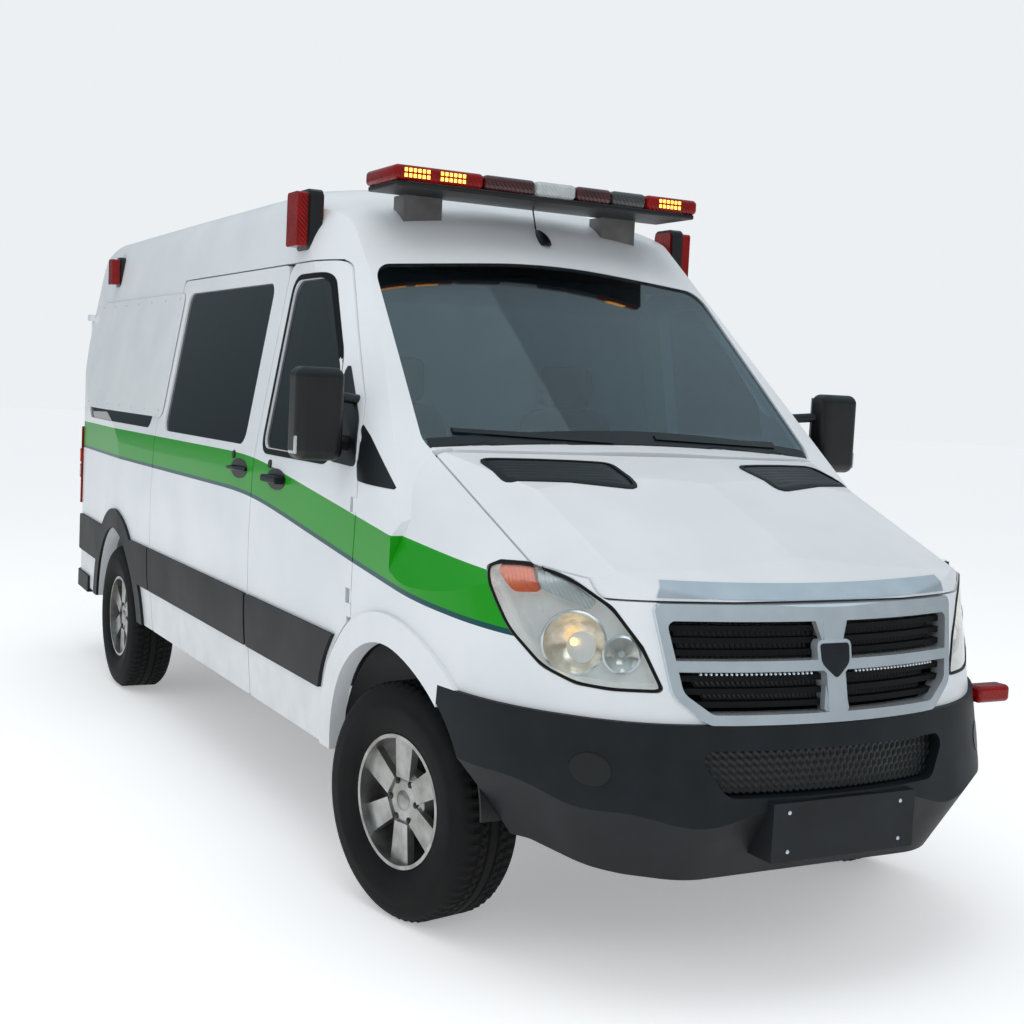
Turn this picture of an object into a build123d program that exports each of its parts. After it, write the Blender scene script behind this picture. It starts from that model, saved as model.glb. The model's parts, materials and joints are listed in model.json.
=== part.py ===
"""Ambulance van with a standard roof: outer panels, doors, glass, cab, running gear and warning lights.

Millimetres, +X forward, +Y left, +Z up, tyres on z = 0. Everything is drawn with x = 0 at the front
axle and moved by FRONT_AXLE_X when it is written, so that the origin is below the middle of the whole.
"""

import os
from math import cos, radians, sin

from build123d import *

# Stations along the vehicle, from the front axle.
WHEELBASE = 3665
REAR_X = -WHEELBASE
BUMPER_FRONT_X = 1010
BUMPER_REAR_X = REAR_X - 1215
FRONT_AXLE_X = -(BUMPER_FRONT_X + BUMPER_REAR_X) / 2

# Wheels and steering.
TYRE_R = 372
TYRE_HALF_W = 117
RIM_R = 210
TRACK_HALF = 858
KINGPIN_Y = 790
STEER_REST = 12
HUB_FACE = 20
SPOKES = 6
BOLT_PCD = 130
BOLT_R = 8
ARM_TOP_Z = 275
RAIL_Y = 430
RAIL_LOW_Z = 480
GEARBOX_REAR_X = -1000
STRUT_Y = 630
STRUT_R = 38
ARCH_R = TYRE_R + 118
DOOR_ARCH_R = ARCH_R + 120
REAR_ARCH_R = TYRE_R + 98
FLARE_W = 95

# Body shell.
WALL = 70
SKIN = 40
GAP = 6
SEAT = 0.3
HOOD_REAR_GAP = 30
GLASS_IN = 8
GLASS_OUT = 14
PROUD = 14
CABIN = 0
RIGHT = (-1300, -765)
SILL_Z = 415
DOOR_TOP_Z = 2108
ROOF_SEAM_Z = 2114
COWL_Z = 1440
DOOR_FRONT_X = -312
PILLAR_X = -1400
SLIDE_REAR_X = REAR_X + 735
REAR_DOOR_LOW_Z = 490
FLOOR_Z = 660
CAB_FLOOR_Z = 642
FLOOR_T = 40
SHELF_Z = 1020
TAIL_X = REAR_X - 1175
PARTITION_X = PILLAR_X - 100
PARTITION_T = 35
FENDER_SPLIT_X = 600
HOOD_LIP_Z = 1104

# Hinge lines.
HOOD_AXIS = (-165, 1435)
HOOD_EAR_Y = 725
DOOR_AXIS = (DOOR_FRONT_X - 18, 978)
DOOR_HINGE_Z = (940, 1240)
HINGE_H = 50
REAR_DOOR_AXIS = (TAIL_X - 22, 872)
REAR_HINGES = ((620, 790), (1265, 790), (1880, 710))
HINGE_BARREL = 75
HINGE_R = 10
WHEEL_AT = (-850, 400, 1260)
WHEEL_LEAN = 33

# Outlines as (first, second, corner radius).
ROOF_PROFILE = [
    (TAIL_X - 50, 150, 0), (-15, 150, 0), (-15, 1399, 0), (-870, 2140, 900), (-1150, 2360, 500),
    (-1560, 2490, 900), (TAIL_X + 220, 2465, 250), (TAIL_X + 60, 2385, 120), (TAIL_X - 50, 1100, 2000),
]
HOOD_PROFILE = [(1150, 160, 0), (1150, 864, 0), (600, 1310, 900), (-900, 1685, 0), (-900, 160, 0)]
SECTION_HALF = [
    (935, 120, 0), (960, 400, 0), (986, 720, 1500), (991, 1050, 1500), (982, 1340, 800), (806, 2383, 150),
]
SHOULDER_HALF = [(992, 20, 0), (992, 1100, 300), (885, 1310, 260), (620, 1464, 0)]
NOSE_PLAN_HALF = [(862, 612, 600), (592, 890, 680), (250, 985, 1000), (-700, 995, 0), (TAIL_X - 660, 995, 0)]
NOSE_TIP = (1025, 0, 1500)
PILLAR_PLAN = [(484, -3000, 0), (484, 409, 0), (-265, 974, 350), (TAIL_X - 4160, 984, 0), (TAIL_X - 4160, -3000, 0)]
TAIL_PLAN = [
    (2000, -1110, 0), (2000, 1110, 0), (TAIL_X + 1540, 1001, 0), (TAIL_X, 928, 100), (TAIL_X, -928, 100), (TAIL_X + 1540, -1001, 0),
]
NOSE_LEAN = (-0.204, 0, 0.979)
SHOULDER_FALL = (0.9285, 0, -0.3714)
PILLAR_LEAN = (-1.154, -0.169, 1)

FRONT_DOOR = [
    (PILLAR_X + GAP / 2, SILL_Z, 25), (PILLAR_X + GAP / 2, DOOR_TOP_Z, 60), (-975, DOOR_TOP_Z, 130),
    (-455, 1590, 400), (DOOR_FRONT_X, 1335, 150), (DOOR_FRONT_X, SILL_Z, 0),
]
FRONT_WINDOW = [(-1310, 1400, 50), (-1310, 2040, 70), (-1000, 2040, 90), (-645, 1680, 200), (-610, 1400, 50)]
SLIDING_DOOR = [
    (SLIDE_REAR_X, SILL_Z, 25), (SLIDE_REAR_X, DOOR_TOP_Z, 60), (PILLAR_X - GAP / 2, DOOR_TOP_Z, 60), (PILLAR_X - GAP / 2, SILL_Z, 25),
]
MID_WINDOW = [
    (SLIDE_REAR_X + 130, 1395, 60), (SLIDE_REAR_X + 130, 2045, 60), (PILLAR_X - 150, 2045, 60), (PILLAR_X - 150, 1395, 60),
]
REAR_WINDOW = [
    (TAIL_X + 280, 1395, 60), (TAIL_X + 280, 2045, 60), (SLIDE_REAR_X - 120, 2045, 60), (SLIDE_REAR_X - 120, 1395, 60),
]
REAR_DOOR = [(3, REAR_DOOR_LOW_Z, 20), (858, REAR_DOOR_LOW_Z, 20), (858, 1330, 200), (757, DOOR_TOP_Z, 60), (3, DOOR_TOP_Z, 20)]
REAR_GLASS = [(105, 1400, 50), (745, 1400, 50), (675, 2030, 60), (105, 2030, 50)]
WINDSHIELD = [
    (-800, 1436, 60), (0, 1486, 3000), (800, 1436, 60), (716, 2098, 80), (0, 2158, 3000), (-716, 2098, 80),
]
HOOD_PLAN = [
    (-165, -770, 0), (108, 0, 1950), (-165, 770, 0), (505, 768, 40), (690, 676, 150), (790, 550, 60), (1100, 440, 0),
    (1100, -440, 0), (790, -550, 60), (690, -676, 150), (505, -768, 40),
]
GRILLE = [(-545, 1100, 25), (545, 1100, 25), (505, 850, 60), (410, 772, 60), (-410, 772, 60), (-505, 850, 60)]
GRILLE_INNER = [(-512, 1052, 20), (512, 1052, 20), (476, 858, 45), (396, 800, 45), (-396, 800, 45), (-476, 858, 45)]
INTAKE = [(-455, 704, 30), (455, 704, 30), (370, 578, 50), (-370, 578, 50)]
BUMPER_SIDE = [(330, 392, 0), (330, 800, 0), (998, 768, 0), (998, 560, 150), (935, 318, 40), (760, 330, 80), (560, 392, 60)]
CHIN_HALF = [(845, 430, 200), (690, 640, 200), (430, 770, 300), (100, 810, 0)]
CHIN_Z = 300
BUMPER_RISE = 560
REAR_BUMPER_LOW_Z = 392
CHIN_SLOPE = 30
LAMP = [
    (-280, 1158, 10), (-240, 1177, 20), (-140, 1180, 60), (-5, 1150, 80), (110, 1082, 80), (200, 978, 80),
    (268, 856, 12), (120, 855, 60), (20, 864, 60), (-80, 902, 80), (-187, 995, 100), (-240, 1080, 40),
]
LAMP_TURN = 40
LAMP_AT = (700, -750)
MOULDING_Z = (612, 818)
SLAT_Z = (815, 850, 885, 955, 988, 1021)
ROOF_LAMPS = ((-1300, 60, 2170, 2375), (TAIL_X + 490, 45, 2150, 2290))


def outline(points, plane=Plane.XY, grow=0.0):
    """A closed face with rounded corners, grown or shrunk by `grow`, laid on `plane`."""
    line = FilletPolyline(*[(u, v) for u, v, _ in points], radius=[r for _, _, r in points], close=True)
    face = make_face(line)
    if grow:
        face = offset(face, amount=grow, kind=Kind.INTERSECTION)
    return plane * face


def both_sides(half, middle=()):
    """The outline of a half on +Y (as y, z) together with its mirror image, `middle` closing it on top."""
    return [*half, *middle, *[(-y, z, r) for y, z, r in reversed(half)]]


def side_prism(points, y0, y1, grow=0.0):
    """An (x, z) outline carried across the vehicle from y0 to y1."""
    return extrude(outline(points, Plane.XZ.offset(-y1), grow), y1 - y0)


def front_prism(points, x0, x1, grow=0.0):
    """A (y, z) outline carried along the vehicle from x0 to x1."""
    return extrude(outline(points, Plane.YZ.offset(x0), grow), x1 - x0)


def plan_prism(points, z0, z1, grow=0.0):
    """An (x, y) outline carried upward from z0 to z1."""
    return extrude(outline(points, Plane.XY.offset(z0), grow), z1 - z0)


def rectangle(u0, u1, v0, v1):
    """A sharp-cornered outline."""
    return [(u0, v0, 0), (u1, v0, 0), (u1, v1, 0), (u0, v1, 0)]


def box(x0, x1, y0, y1, z0, z1):
    """A block between two corners."""
    return Pos((x0 + x1) / 2, (y0 + y1) / 2, (z0 + z1) / 2) * Box(x1 - x0, y1 - y0, z1 - z0)


def rod(start, end, r):
    """A round bar from one point to another."""
    a, b = Vector(*start), Vector(*end)
    return Plane(a, z_dir=b - a) * Cylinder(r, (b - a).length, align=(Align.CENTER, Align.CENTER, Align.MIN))


def cross_disc(x, z, r, y0, y1):
    """A cylinder across the vehicle about (x, z) from y0 to y1."""
    return rod((x, y0, z), (x, y1, z), r)


def crowned(face, axis_z, half_angle):
    """A side profile turned about a line far below it, which gives roof and hood their crown."""
    axis = Axis((0, 0, axis_z), (1, 0, 0))
    return revolve(face.rotate(axis, -half_angle), axis=axis, revolution_arc=2 * half_angle)


_forms = {}


def forms(inset):
    """The cabin form, the hood form and the two joined, all moved inward by `inset`."""
    if inset not in _forms:
        roof = crowned(outline(ROOF_PROFILE, Plane.XZ, -inset), -1500, 40)
        hood = crowned(outline(HOOD_PROFILE, Plane.XZ, -inset), -4500, 14)
        section = front_prism(both_sides(SECTION_HALF, [(0, 2676, 0)]), TAIL_X - 360, 1400, -inset)
        shoulder = outline(both_sides(SHOULDER_HALF, [(0, 1500, 0)]), Plane.YZ, -inset)
        shoulder = extrude(Pos(-1000, 0, 400) * shoulder, 2600, dir=SHOULDER_FALL)
        plan = [*NOSE_PLAN_HALF, *[(x, -y, r) for x, y, r in reversed(NOSE_PLAN_HALF)], NOSE_TIP]
        nose = extrude(Pos(112.5, 0, 0) * outline(plan, Plane.XY.offset(100), -inset), 2700, dir=NOSE_LEAN)
        tail = plan_prism(TAIL_PLAN, 100, 2700, -inset)
        pillar = Pos(-1300 * PILLAR_LEAN[0], -1300 * PILLAR_LEAN[1], 0) * outline(PILLAR_PLAN, Plane.XY.offset(100), -inset)
        pillar = extrude(pillar, 2600 * Vector(*PILLAR_LEAN).length, dir=Vector(*PILLAR_LEAN).normalized())
        cabin = roof & section & tail & nose & pillar & mirror(pillar, about=Plane.XZ)
        front = hood & section & shoulder & nose
        _forms[inset] = cabin, front, cabin + front
    return _forms[inset]


def body(inset):
    """The outer form of the whole body, moved inward by `inset`."""
    return forms(inset)[2]


def layer(outer, inner, region, form=-1):
    """The part of a region that lies between two insets of the body, or of one of its two forms."""
    return (forms(outer)[form] & region) - forms(inner)[form]


def right_and_left(right):
    """A piece on the right side and its mirror image, as solids of one node."""
    return [*right.solids(), *mirror(right, about=Plane.XZ).solids()]


def write(name, shape):
    """Writes one node, moved into the shared frame."""
    solids = shape if isinstance(shape, list) else shape.solids()
    export_step(Pos(FRONT_AXLE_X, 0, 0) * Compound(children=[Solid(s.wrapped) for s in solids]), f"parts/{name}.step")


def write_pair(name, right):
    """Writes a right-hand piece and its mirror image as two nodes."""
    write(f"{name}_right", right)
    write(f"{name}_left", mirror(right, about=Plane.XZ))


os.makedirs("parts", exist_ok=True)

# Doors and windows of the right side; the arch line trims the front doors.
arch_trim = cross_disc(0, TYRE_R, DOOR_ARCH_R, -1300, 1300)
arch_trim_wide = cross_disc(0, TYRE_R, DOOR_ARCH_R - GAP, -1300, 1300)
front_door_hole = side_prism(FRONT_DOOR, *RIGHT, GAP) - arch_trim_wide
front_window = side_prism(FRONT_WINDOW, *RIGHT)
hinge_x, hinge_y = DOOR_AXIS[0], -DOOR_AXIS[1]
door_low_z = TYRE_R + (DOOR_ARCH_R**2 - DOOR_FRONT_X**2) ** 0.5
door_relief = box(hinge_x - 15, 0, *RIGHT, 0, door_low_z)
front_door = layer(0, WALL, side_prism(FRONT_DOOR, *RIGHT) - arch_trim - door_relief - front_window)
door_hinges = []
for z in DOOR_HINGE_Z:
    front_door = front_door - rod((hinge_x, hinge_y, z), (hinge_x, hinge_y, z + HINGE_H), 32)
    tongue = rod((hinge_x, hinge_y, z + SEAT), (hinge_x, hinge_y, z + HINGE_H - SEAT), 9)
    door_hinges.append(tongue + box(hinge_x, DOOR_FRONT_X + 20, hinge_y - 5, hinge_y + 9, z + SEAT, z + HINGE_H - SEAT))
write_pair("front_door", front_door)
write_pair("front_door_glass", layer(GLASS_IN, GLASS_OUT, front_window))

mid_window, rear_window = side_prism(MID_WINDOW, *RIGHT), side_prism(REAR_WINDOW, *RIGHT)
write("sliding_door", layer(0, WALL, side_prism(SLIDING_DOOR, *RIGHT) - mid_window))
panes = [layer(GLASS_IN, GLASS_OUT, window) for window in (mid_window, rear_window)]
write("side_glass", right_and_left(panes[0]) + right_and_left(panes[1]))

# Rear doors with three hinge barrels each, standing off the rear face.
rear_door_hole = front_prism(REAR_DOOR, TAIL_X - 160, TAIL_X + 240, GAP)
rear_window_hole = front_prism(REAR_GLASS, TAIL_X - 160, TAIL_X + 240)
rear_door = layer(0, WALL, front_prism(REAR_DOOR, TAIL_X - 160, TAIL_X + 240) - rear_window_hole)
axis_x, axis_y = REAR_DOOR_AXIS
rear_hinges = None
for z, reach in REAR_HINGES:
    barrel = rod((axis_x, axis_y, z), (axis_x, axis_y, z + HINGE_BARREL), HINGE_R)
    leaf = box(axis_x - 4, axis_x + 18, reach, axis_y, z + 8, z + HINGE_BARREL - 8)
    leaf = leaf + box(axis_x, TAIL_X + 50, reach, reach + 50, z + 8, z + HINGE_BARREL - 8)
    rear_door = rear_door + (barrel + leaf)
    low, high = z + HINGE_BARREL + SEAT, z + HINGE_BARREL + 35
    knuckle = rod((axis_x, -axis_y, low), (axis_x, -axis_y, high), HINGE_R)
    knuckle = knuckle + box(axis_x - 4, TAIL_X + 50, -axis_y - 33, -axis_y - 4, low, high)
    rear_hinges = knuckle if rear_hinges is None else rear_hinges + knuckle
write("rear_door_left", rear_door)
write("rear_door_right", mirror(rear_door, about=Plane.XZ))
rear_pane = layer(GLASS_IN, GLASS_OUT, rear_window_hole)
write("rear_door_glass_left", rear_pane)
write("rear_door_glass_right", mirror(rear_pane, about=Plane.XZ))

# Fixed side walls, open at the rear wheels.
rear_arch = cross_disc(REAR_X, TYRE_R, REAR_ARCH_R, -1300, 1300)
quarter_region = box(TAIL_X - 160, SLIDE_REAR_X - GAP, *RIGHT, SILL_Z, ROOF_SEAM_Z) - rear_arch - rear_window
quarter = layer(0, WALL, quarter_region) - mirror(rear_door_hole, about=Plane.XZ)
write("side_panel_right", quarter + rear_hinges)
full_region = box(TAIL_X - 160, PILLAR_X - GAP / 2, *RIGHT, SILL_Z, ROOF_SEAM_Z) - rear_arch - rear_window - mid_window
full_side = layer(0, WALL, full_region) - mirror(rear_door_hole, about=Plane.XZ)
write("side_panel_left", mirror(full_side + rear_hinges, about=Plane.XZ))

# Roof, windshield frame and hood, with the hood's two ears beside lugs on the frame.
glass_prism = front_prism(WINDSHIELD, -1150, 100)
hole_plan = [(x - HOOD_REAR_GAP + GAP, y, r) for x, y, r in HOOD_PLAN[:3]] + HOOD_PLAN[3:]
hood_hole = plan_prism(hole_plan, HOOD_LIP_Z - GAP, 1800, GAP)
ear_x, ear_z = HOOD_AXIS
write("roof", layer(0, SKIN, box(TAIL_X - 160, 0, -1300, 1300, ROOF_SEAM_Z, 2700)) - glass_prism)
frame = layer(0, SKIN, box(-1000, -60, -1300, 1300, COWL_Z, ROOF_SEAM_Z))
frame = frame - (glass_prism - forms(0)[1]) - hood_hole - front_door_hole - mirror(front_door_hole, about=Plane.XZ)
hood = layer(0, SKIN, plan_prism(HOOD_PLAN, HOOD_LIP_Z, 1800))
for side in (-1, 1):
    ear_y = side * HOOD_EAR_Y
    lug_y = sorted((side * (HOOD_EAR_Y - 10 - SEAT), side * (HOOD_EAR_Y - 42)))
    frame = frame - box(ear_x - 25, ear_x + 60, ear_y - 15, ear_y + 15, ear_z - 40, ear_z + 30)
    frame = frame + box(ear_x - 40, ear_x + 6, *lug_y, ear_z - 22, ear_z + 6)
    ear = box(ear_x, ear_x + 45, ear_y - 10, ear_y + 10, ear_z - 9, ear_z + 9)
    hood = hood + (ear + cross_disc(ear_x, ear_z, 9, ear_y - 10, ear_y + 10))
write("windshield_frame", frame)
write("windshield", layer(GLASS_IN, GLASS_OUT, glass_prism, CABIN) - forms(0)[1])
write("hood", hood)

# Headlamps, fenders and the nose panel between them.
lamp_plane = Plane(
    origin=(*LAMP_AT, 0),
    x_dir=(sin(radians(LAMP_TURN)), cos(radians(LAMP_TURN)), 0),
    z_dir=(cos(radians(LAMP_TURN)), -sin(radians(LAMP_TURN)), 0),
)
lamp_hole = extrude(outline(LAMP, lamp_plane), 330, both=True)
lamp_hole_wide = extrude(outline(LAMP, lamp_plane, SEAT), 330, both=True)
grille_hole = front_prism(GRILLE, 400, 1200)
lamp = layer(0, WALL, lamp_hole) - hood_hole - front_prism(GRILLE, 400, 1200, SEAT)
write("headlamps", right_and_left(lamp))
front_arches = cross_disc(0, TYRE_R, ARCH_R, -1300, 1300)
bumper_arches = cross_disc(0, TYRE_R, ARCH_R + 10, -1300, 1300)
bumper_hole = side_prism(BUMPER_SIDE, -1300, 1300, SEAT)
fender = layer(0, SKIN, box(-DOOR_ARCH_R - 50, FENDER_SPLIT_X, *RIGHT, SILL_Z, COWL_Z)) - hood_hole - front_door_hole
fender = fender - front_arches - bumper_hole - box(330, 1100, *RIGHT, 100, 420) - lamp_hole_wide
flare_region = cross_disc(0, TYRE_R, ARCH_R + FLARE_W, *RIGHT) & box(-DOOR_ARCH_R, ARCH_R, *RIGHT, SILL_Z, 1300)
flare = layer(-PROUD, SKIN / 2, flare_region) - front_arches - bumper_hole
write_pair("fender", fender + flare + door_hinges[0] + door_hinges[1])
nose = layer(0, SKIN, box(FENDER_SPLIT_X, 1200, -1300, -5, 700, 1400)) - hood_hole - bumper_hole
write("front_panel", right_and_left(nose - grille_hole - lamp_hole_wide))

# Grille: bright surround with cross bars, dark slats behind.
inner_grille = front_prism(GRILLE_INNER, 400, 1200)
bars = front_prism(rectangle(-560, 560, 915, 945), 400, 1200) + front_prism(rectangle(-34, 34, 700, 1200), 400, 1200)
write("grille_surround", layer(-PROUD, SKIN, grille_hole - (inner_grille - bars)) - hood_hole - bumper_hole)
slats = []
for z in SLAT_Z:
    row = layer(GLASS_OUT, SKIN, front_prism(rectangle(-560, 560, z, z + 16), 400, 1200) & inner_grille)
    slats += (row - bars).solids()
write("grille_slats", slats)

# Bumpers.
front_region = side_prism(BUMPER_SIDE, -1300, 1300) - front_prism(INTAKE, 400, 1200) - bumper_arches
chins = []
for inset in (0, WALL + PROUD):
    chin = outline([*CHIN_HALF, *[(x, -y, r) for x, y, r in reversed(CHIN_HALF)]], Plane.XY.offset(CHIN_Z), -inset)
    chins.append(extrude(chin, BUMPER_RISE, taper=-CHIN_SLOPE))
front_bumper = ((forms(-PROUD)[2] & front_region) & chins[0]) - (body(WALL) & chins[1])
write("front_bumper", front_bumper + box(850, BUMPER_FRONT_X, -255, 255, 402, 568))
rear_region = box(TAIL_X - 160, TAIL_X + 420, -1300, 1300, REAR_BUMPER_LOW_Z, REAR_DOOR_LOW_Z - GAP) - rear_arch
rear_bumper = layer(-PROUD, WALL, rear_region) - layer(0, WALL, box(TAIL_X - 160, TAIL_X + 440, -1300, 1300, SILL_Z, 700))
step = fillet(box(BUMPER_REAR_X, TAIL_X, -760, 760, 404, REAR_DOOR_LOW_Z - GAP).edges().filter_by(Axis.Z).sort_by(Axis.X)[:2], 30)
write("rear_bumper", rear_bumper + (step - body(0)))

# Black mouldings along the sides and round the rear arches, and the front doors' mouldings and handles.
z0, z1 = MOULDING_Z
strip = [(TAIL_X + 90, z0, 20), (TAIL_X + 90, z1, 20), (PILLAR_X - 10, z1, 8), (PILLAR_X - 10, z0, 8)]
split = box(SLIDE_REAR_X - 12, SLIDE_REAR_X + 4, *RIGHT, 0, 2000)
ring = cross_disc(REAR_X, TYRE_R, REAR_ARCH_R + 100, *RIGHT) & box(TAIL_X, 0, *RIGHT, SILL_Z, 1200)
moulding = layer(-PROUD, 0, (side_prism(strip, *RIGHT) + ring) - rear_arch - split)
write("side_mouldings", right_and_left(moulding))
door_strip = [(PILLAR_X + 10, z0, 8), (PILLAR_X + 10, z1, 8), (-330, z1, 8), (-330, z0, 8)]
door_trim = layer(-PROUD, 0, side_prism(door_strip, *RIGHT) - cross_disc(0, TYRE_R, DOOR_ARCH_R + 20, *RIGHT))
handle = fillet(box(-1200, -1030, -1020, -970, 1276, 1304).edges(), 8) - body(0)
write_pair("front_door_trim", door_trim + handle)

# Mirrors on the front doors.
mirror_body = fillet(box(-500, -390, -1168, -1000, 1402, 1708).edges(), 34)
mirror_arm = rod((-445, -1050, 1470), (-475, -900, 1450), 26) + rod((-445, -1050, 1620), (-530, -870, 1600), 18)
write_pair("door_mirror", mirror_body + (mirror_arm - body(0)))

# Lamps: tail lamps in the rear corners, light bar above the windshield, warning lamps on the roof sides and one at the front.
write("tail_lamps", right_and_left(layer(-PROUD, 0, box(TAIL_X - 160, TAIL_X + 70, -1300, -886, 880, 1330))))
bar_z = (2387, 2405, 2462)
write("light_bar", fillet(box(-1150, -860, -665, 665, *bar_z[1:]).edges().filter_by(Axis.Z), 60))
base = fillet(box(-1140, -870, -650, 650, *bar_z[:2]).edges().filter_by(Axis.Z), 55)
for side in (-1, 1):
    base = base + (box(-1200, -1100, side * 440 - 80, side * 440 + 80, 2180, bar_z[0]) - body(0))
write("light_bar_base", base)
warning = []
for x, half, low, high in ROOF_LAMPS:
    block = fillet(box(x - half, x + half, -895, -790, low, high).edges().filter_by(Axis.Y), 14) - body(0)
    warning += right_and_left(block)
corner_lamp = (fillet(box(665, 735, 765, 905, 732, 788).edges(), 16) + rod((700, 800, 760), (690, 600, 760), 16)) - body(-PROUD)
write("warning_lamps", [*warning, *corner_lamp.solids()])

# Wipers, flat against the glass.
wipers = []
for y, span in ((-120, -560), (620, -560)):
    arm = front_prism([(y, 1500, 0), (y + span, 1518, 0), (y + span, 1530, 0), (y, 1520, 0)], -1000, 100)
    wipers += layer(0, GLASS_IN, arm, CABIN).solids()
write("wipers", wipers)

# Floor with wheel boxes, firewall stepped over the gearbox, and liners in the front arches.
floor = box(TAIL_X + 100, PARTITION_X, -1000, 1000, FLOOR_Z - FLOOR_T, FLOOR_Z)
floor = (floor + box(PARTITION_X, -640, -1000, 1000, FLOOR_Z - FLOOR_T, CAB_FLOOR_Z)) & body(WALL)
for side in (-1, 1):
    floor = floor - box(PILLAR_X, 0, *sorted((side * 870, side * 1100)), 0, 1000)
box_outer = cross_disc(REAR_X, TYRE_R, REAR_ARCH_R + 10, -1000, 1000) & body(WALL)
box_inner = cross_disc(REAR_X, TYRE_R, REAR_ARCH_R - 10, -1300, 1300) - box(TAIL_X, 0, -640, 640, 0, 1200)
wheel_boxes = (box_outer - box(TAIL_X, 0, -620, 620, 0, 1200)) & box(TAIL_X, 0, -1000, 1000, FLOOR_Z - FLOOR_T, 1200)
firewall = box(-660, -640, -870, 870, FLOOR_Z - FLOOR_T, SHELF_Z) + box(-660, -180, -870, 870, SHELF_Z - 20, SHELF_Z)
firewall = firewall + box(-200, -180, -700, 700, SHELF_Z - 20, 1345)
write("floor", ((floor + wheel_boxes) - box_inner) + firewall)
wheel_liner = cross_disc(0, TYRE_R, ARCH_R + 6, -930, -492) - cross_disc(0, TYRE_R, ARCH_R, -1000, -500)
write("wheel_liners", right_and_left(wheel_liner & box(-700, 700, -1000, 0, 430, 1000) & body(SKIN)))

# Frame rails with crossmembers, front arms and struts; engine with gearbox, and radiator.
rail_top = FLOOR_Z - FLOOR_T
chassis = box(-60, 60, -455, 455, 240, 490)
struts = []
strut_top = TYRE_R + (ARCH_R**2 - STRUT_R**2) ** 0.5 - SEAT
for side in (-1, 1):
    chassis = chassis + box(TAIL_X + 200, 700, side * RAIL_Y - 40, side * RAIL_Y + 40, RAIL_LOW_Z, rail_top)
    arm = [(-110, side * 440, 0), (110, side * 440, 0), (20, side * KINGPIN_Y, 0), (-20, side * KINGPIN_Y, 0)]
    chassis = chassis + plan_prism(arm, ARM_TOP_Z - 30, ARM_TOP_Z)
    struts += rod((0, side * STRUT_Y, 560), (0, side * STRUT_Y, strut_top), STRUT_R).solids()
for x in (TAIL_X + 340, 0.655 * REAR_X, 0.341 * REAR_X, 620):
    chassis = chassis + box(x - 40, x + 40, -RAIL_Y, RAIL_Y, 490, 590)
write("frame_rails", [*chassis.solids(), *struts])
engine = fillet(box(-560, 540, -350, 350, 490, 970).edges(), 30) + box(GEARBOX_REAR_X, -550, -130, 130, 400, 600)
write("engine", [*engine.solids(), *box(640, 690, -420, 420, rail_top, 1000).solids()])

# Rear axle with differential, springs and propeller shaft; exhaust and fuel tank.
axle = cross_disc(REAR_X, TYRE_R, 48, -760, 760) + Pos(REAR_X, 0, TYRE_R) * Sphere(150)
axle = axle + rod((REAR_X + 100, 0, TYRE_R), (GEARBOX_REAR_X - 5 * SEAT, 0, 450), 38)
for side in (-1, 1):
    axle = axle + box(REAR_X - 620, REAR_X + 620, side * RAIL_Y - 35, side * RAIL_Y + 35, 412, 440)
    for x in (-620, 560):
        axle = axle + box(REAR_X + x, REAR_X + x + 60, side * RAIL_Y - 35, side * RAIL_Y + 35, 430, RAIL_LOW_Z)
    axle = axle + cross_disc(REAR_X, TYRE_R, 60, *sorted((side * 750, side * (TRACK_HALF + HUB_FACE - SEAT))))
    axle = axle + cross_disc(REAR_X, TYRE_R, 150, *sorted((side * 812, side * 836)))
write("rear_axle", axle)
exhaust = rod((-640, 250, 430), (0.737 * REAR_X, 250, 430), 32) + rod((0.41 * REAR_X, 250, 430), (0.573 * REAR_X, 250, 430), 72)
for x in (0.3 * REAR_X, 0.709 * REAR_X):
    exhaust = exhaust + rod((x, 250, 430), (x, 250, rail_top), 8)
write("exhaust", exhaust)
write("fuel_tank", fillet(box(0.628 * REAR_X, 0.355 * REAR_X, -800, -500, 450, rail_top).edges().filter_by(Axis.Z), 40))


def turned_with_steering(shape, side):
    """A piece of one front wheel, swung about its kingpin to the angle seen in the photo."""
    return shape.rotate(Axis((0, side * KINGPIN_Y, 0), (0, 0, 1)), STEER_REST)


def wheel_parts(x, side):
    """Tyre and six-spoke rim about (x, side * TRACK_HALF, TYRE_R); the outer face looks away from the vehicle."""
    tyre_half = [(RIM_R, 92), (RIM_R + 0.5 * (TYRE_R - RIM_R), TYRE_HALF_W), (TYRE_R - 22, 107), (TYRE_R, 82)]
    tyre_line = [*[(r, -w, 0) for r, w in tyre_half], *[(r, w, 0) for r, w in reversed(tyre_half)]]
    tyre = revolve(outline(tyre_line, Plane.XZ), axis=Axis.Z)
    rim = revolve(outline([(RIM_R - 12, -96, 0), (RIM_R, -96, 0), (RIM_R, 96, 0), (RIM_R - 12, 96, 0)], Plane.XZ), axis=Axis.Z)
    hub = [(34, HUB_FACE, 0), (96, HUB_FACE, 0), (96, 60, 10), (60, 68, 8), (34, 68, 0)]
    rim = rim + revolve(outline(hub, Plane.XZ), axis=Axis.Z) + Pos(0, 0, 46) * Cylinder(34, 44)
    spoke = plan_prism([(70, -34, 0), (RIM_R - 7, -46, 0), (RIM_R - 7, 46, 0), (70, 34, 0)], 48, 74)
    for k in range(SPOKES):
        rim = rim + spoke.rotate(Axis.Z, 360 / SPOKES * (k + 0.5))
    for k in range(SPOKES):
        turn = radians(360 / SPOKES * k)
        rim = rim - Pos(BOLT_PCD / 2 * cos(turn), BOLT_PCD / 2 * sin(turn), 0) * Cylinder(BOLT_R, 200)
    place = Pos(x, side * TRACK_HALF, TYRE_R) * Rot(-90 * side, 0, 0)
    return place * tyre, place * rim


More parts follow.
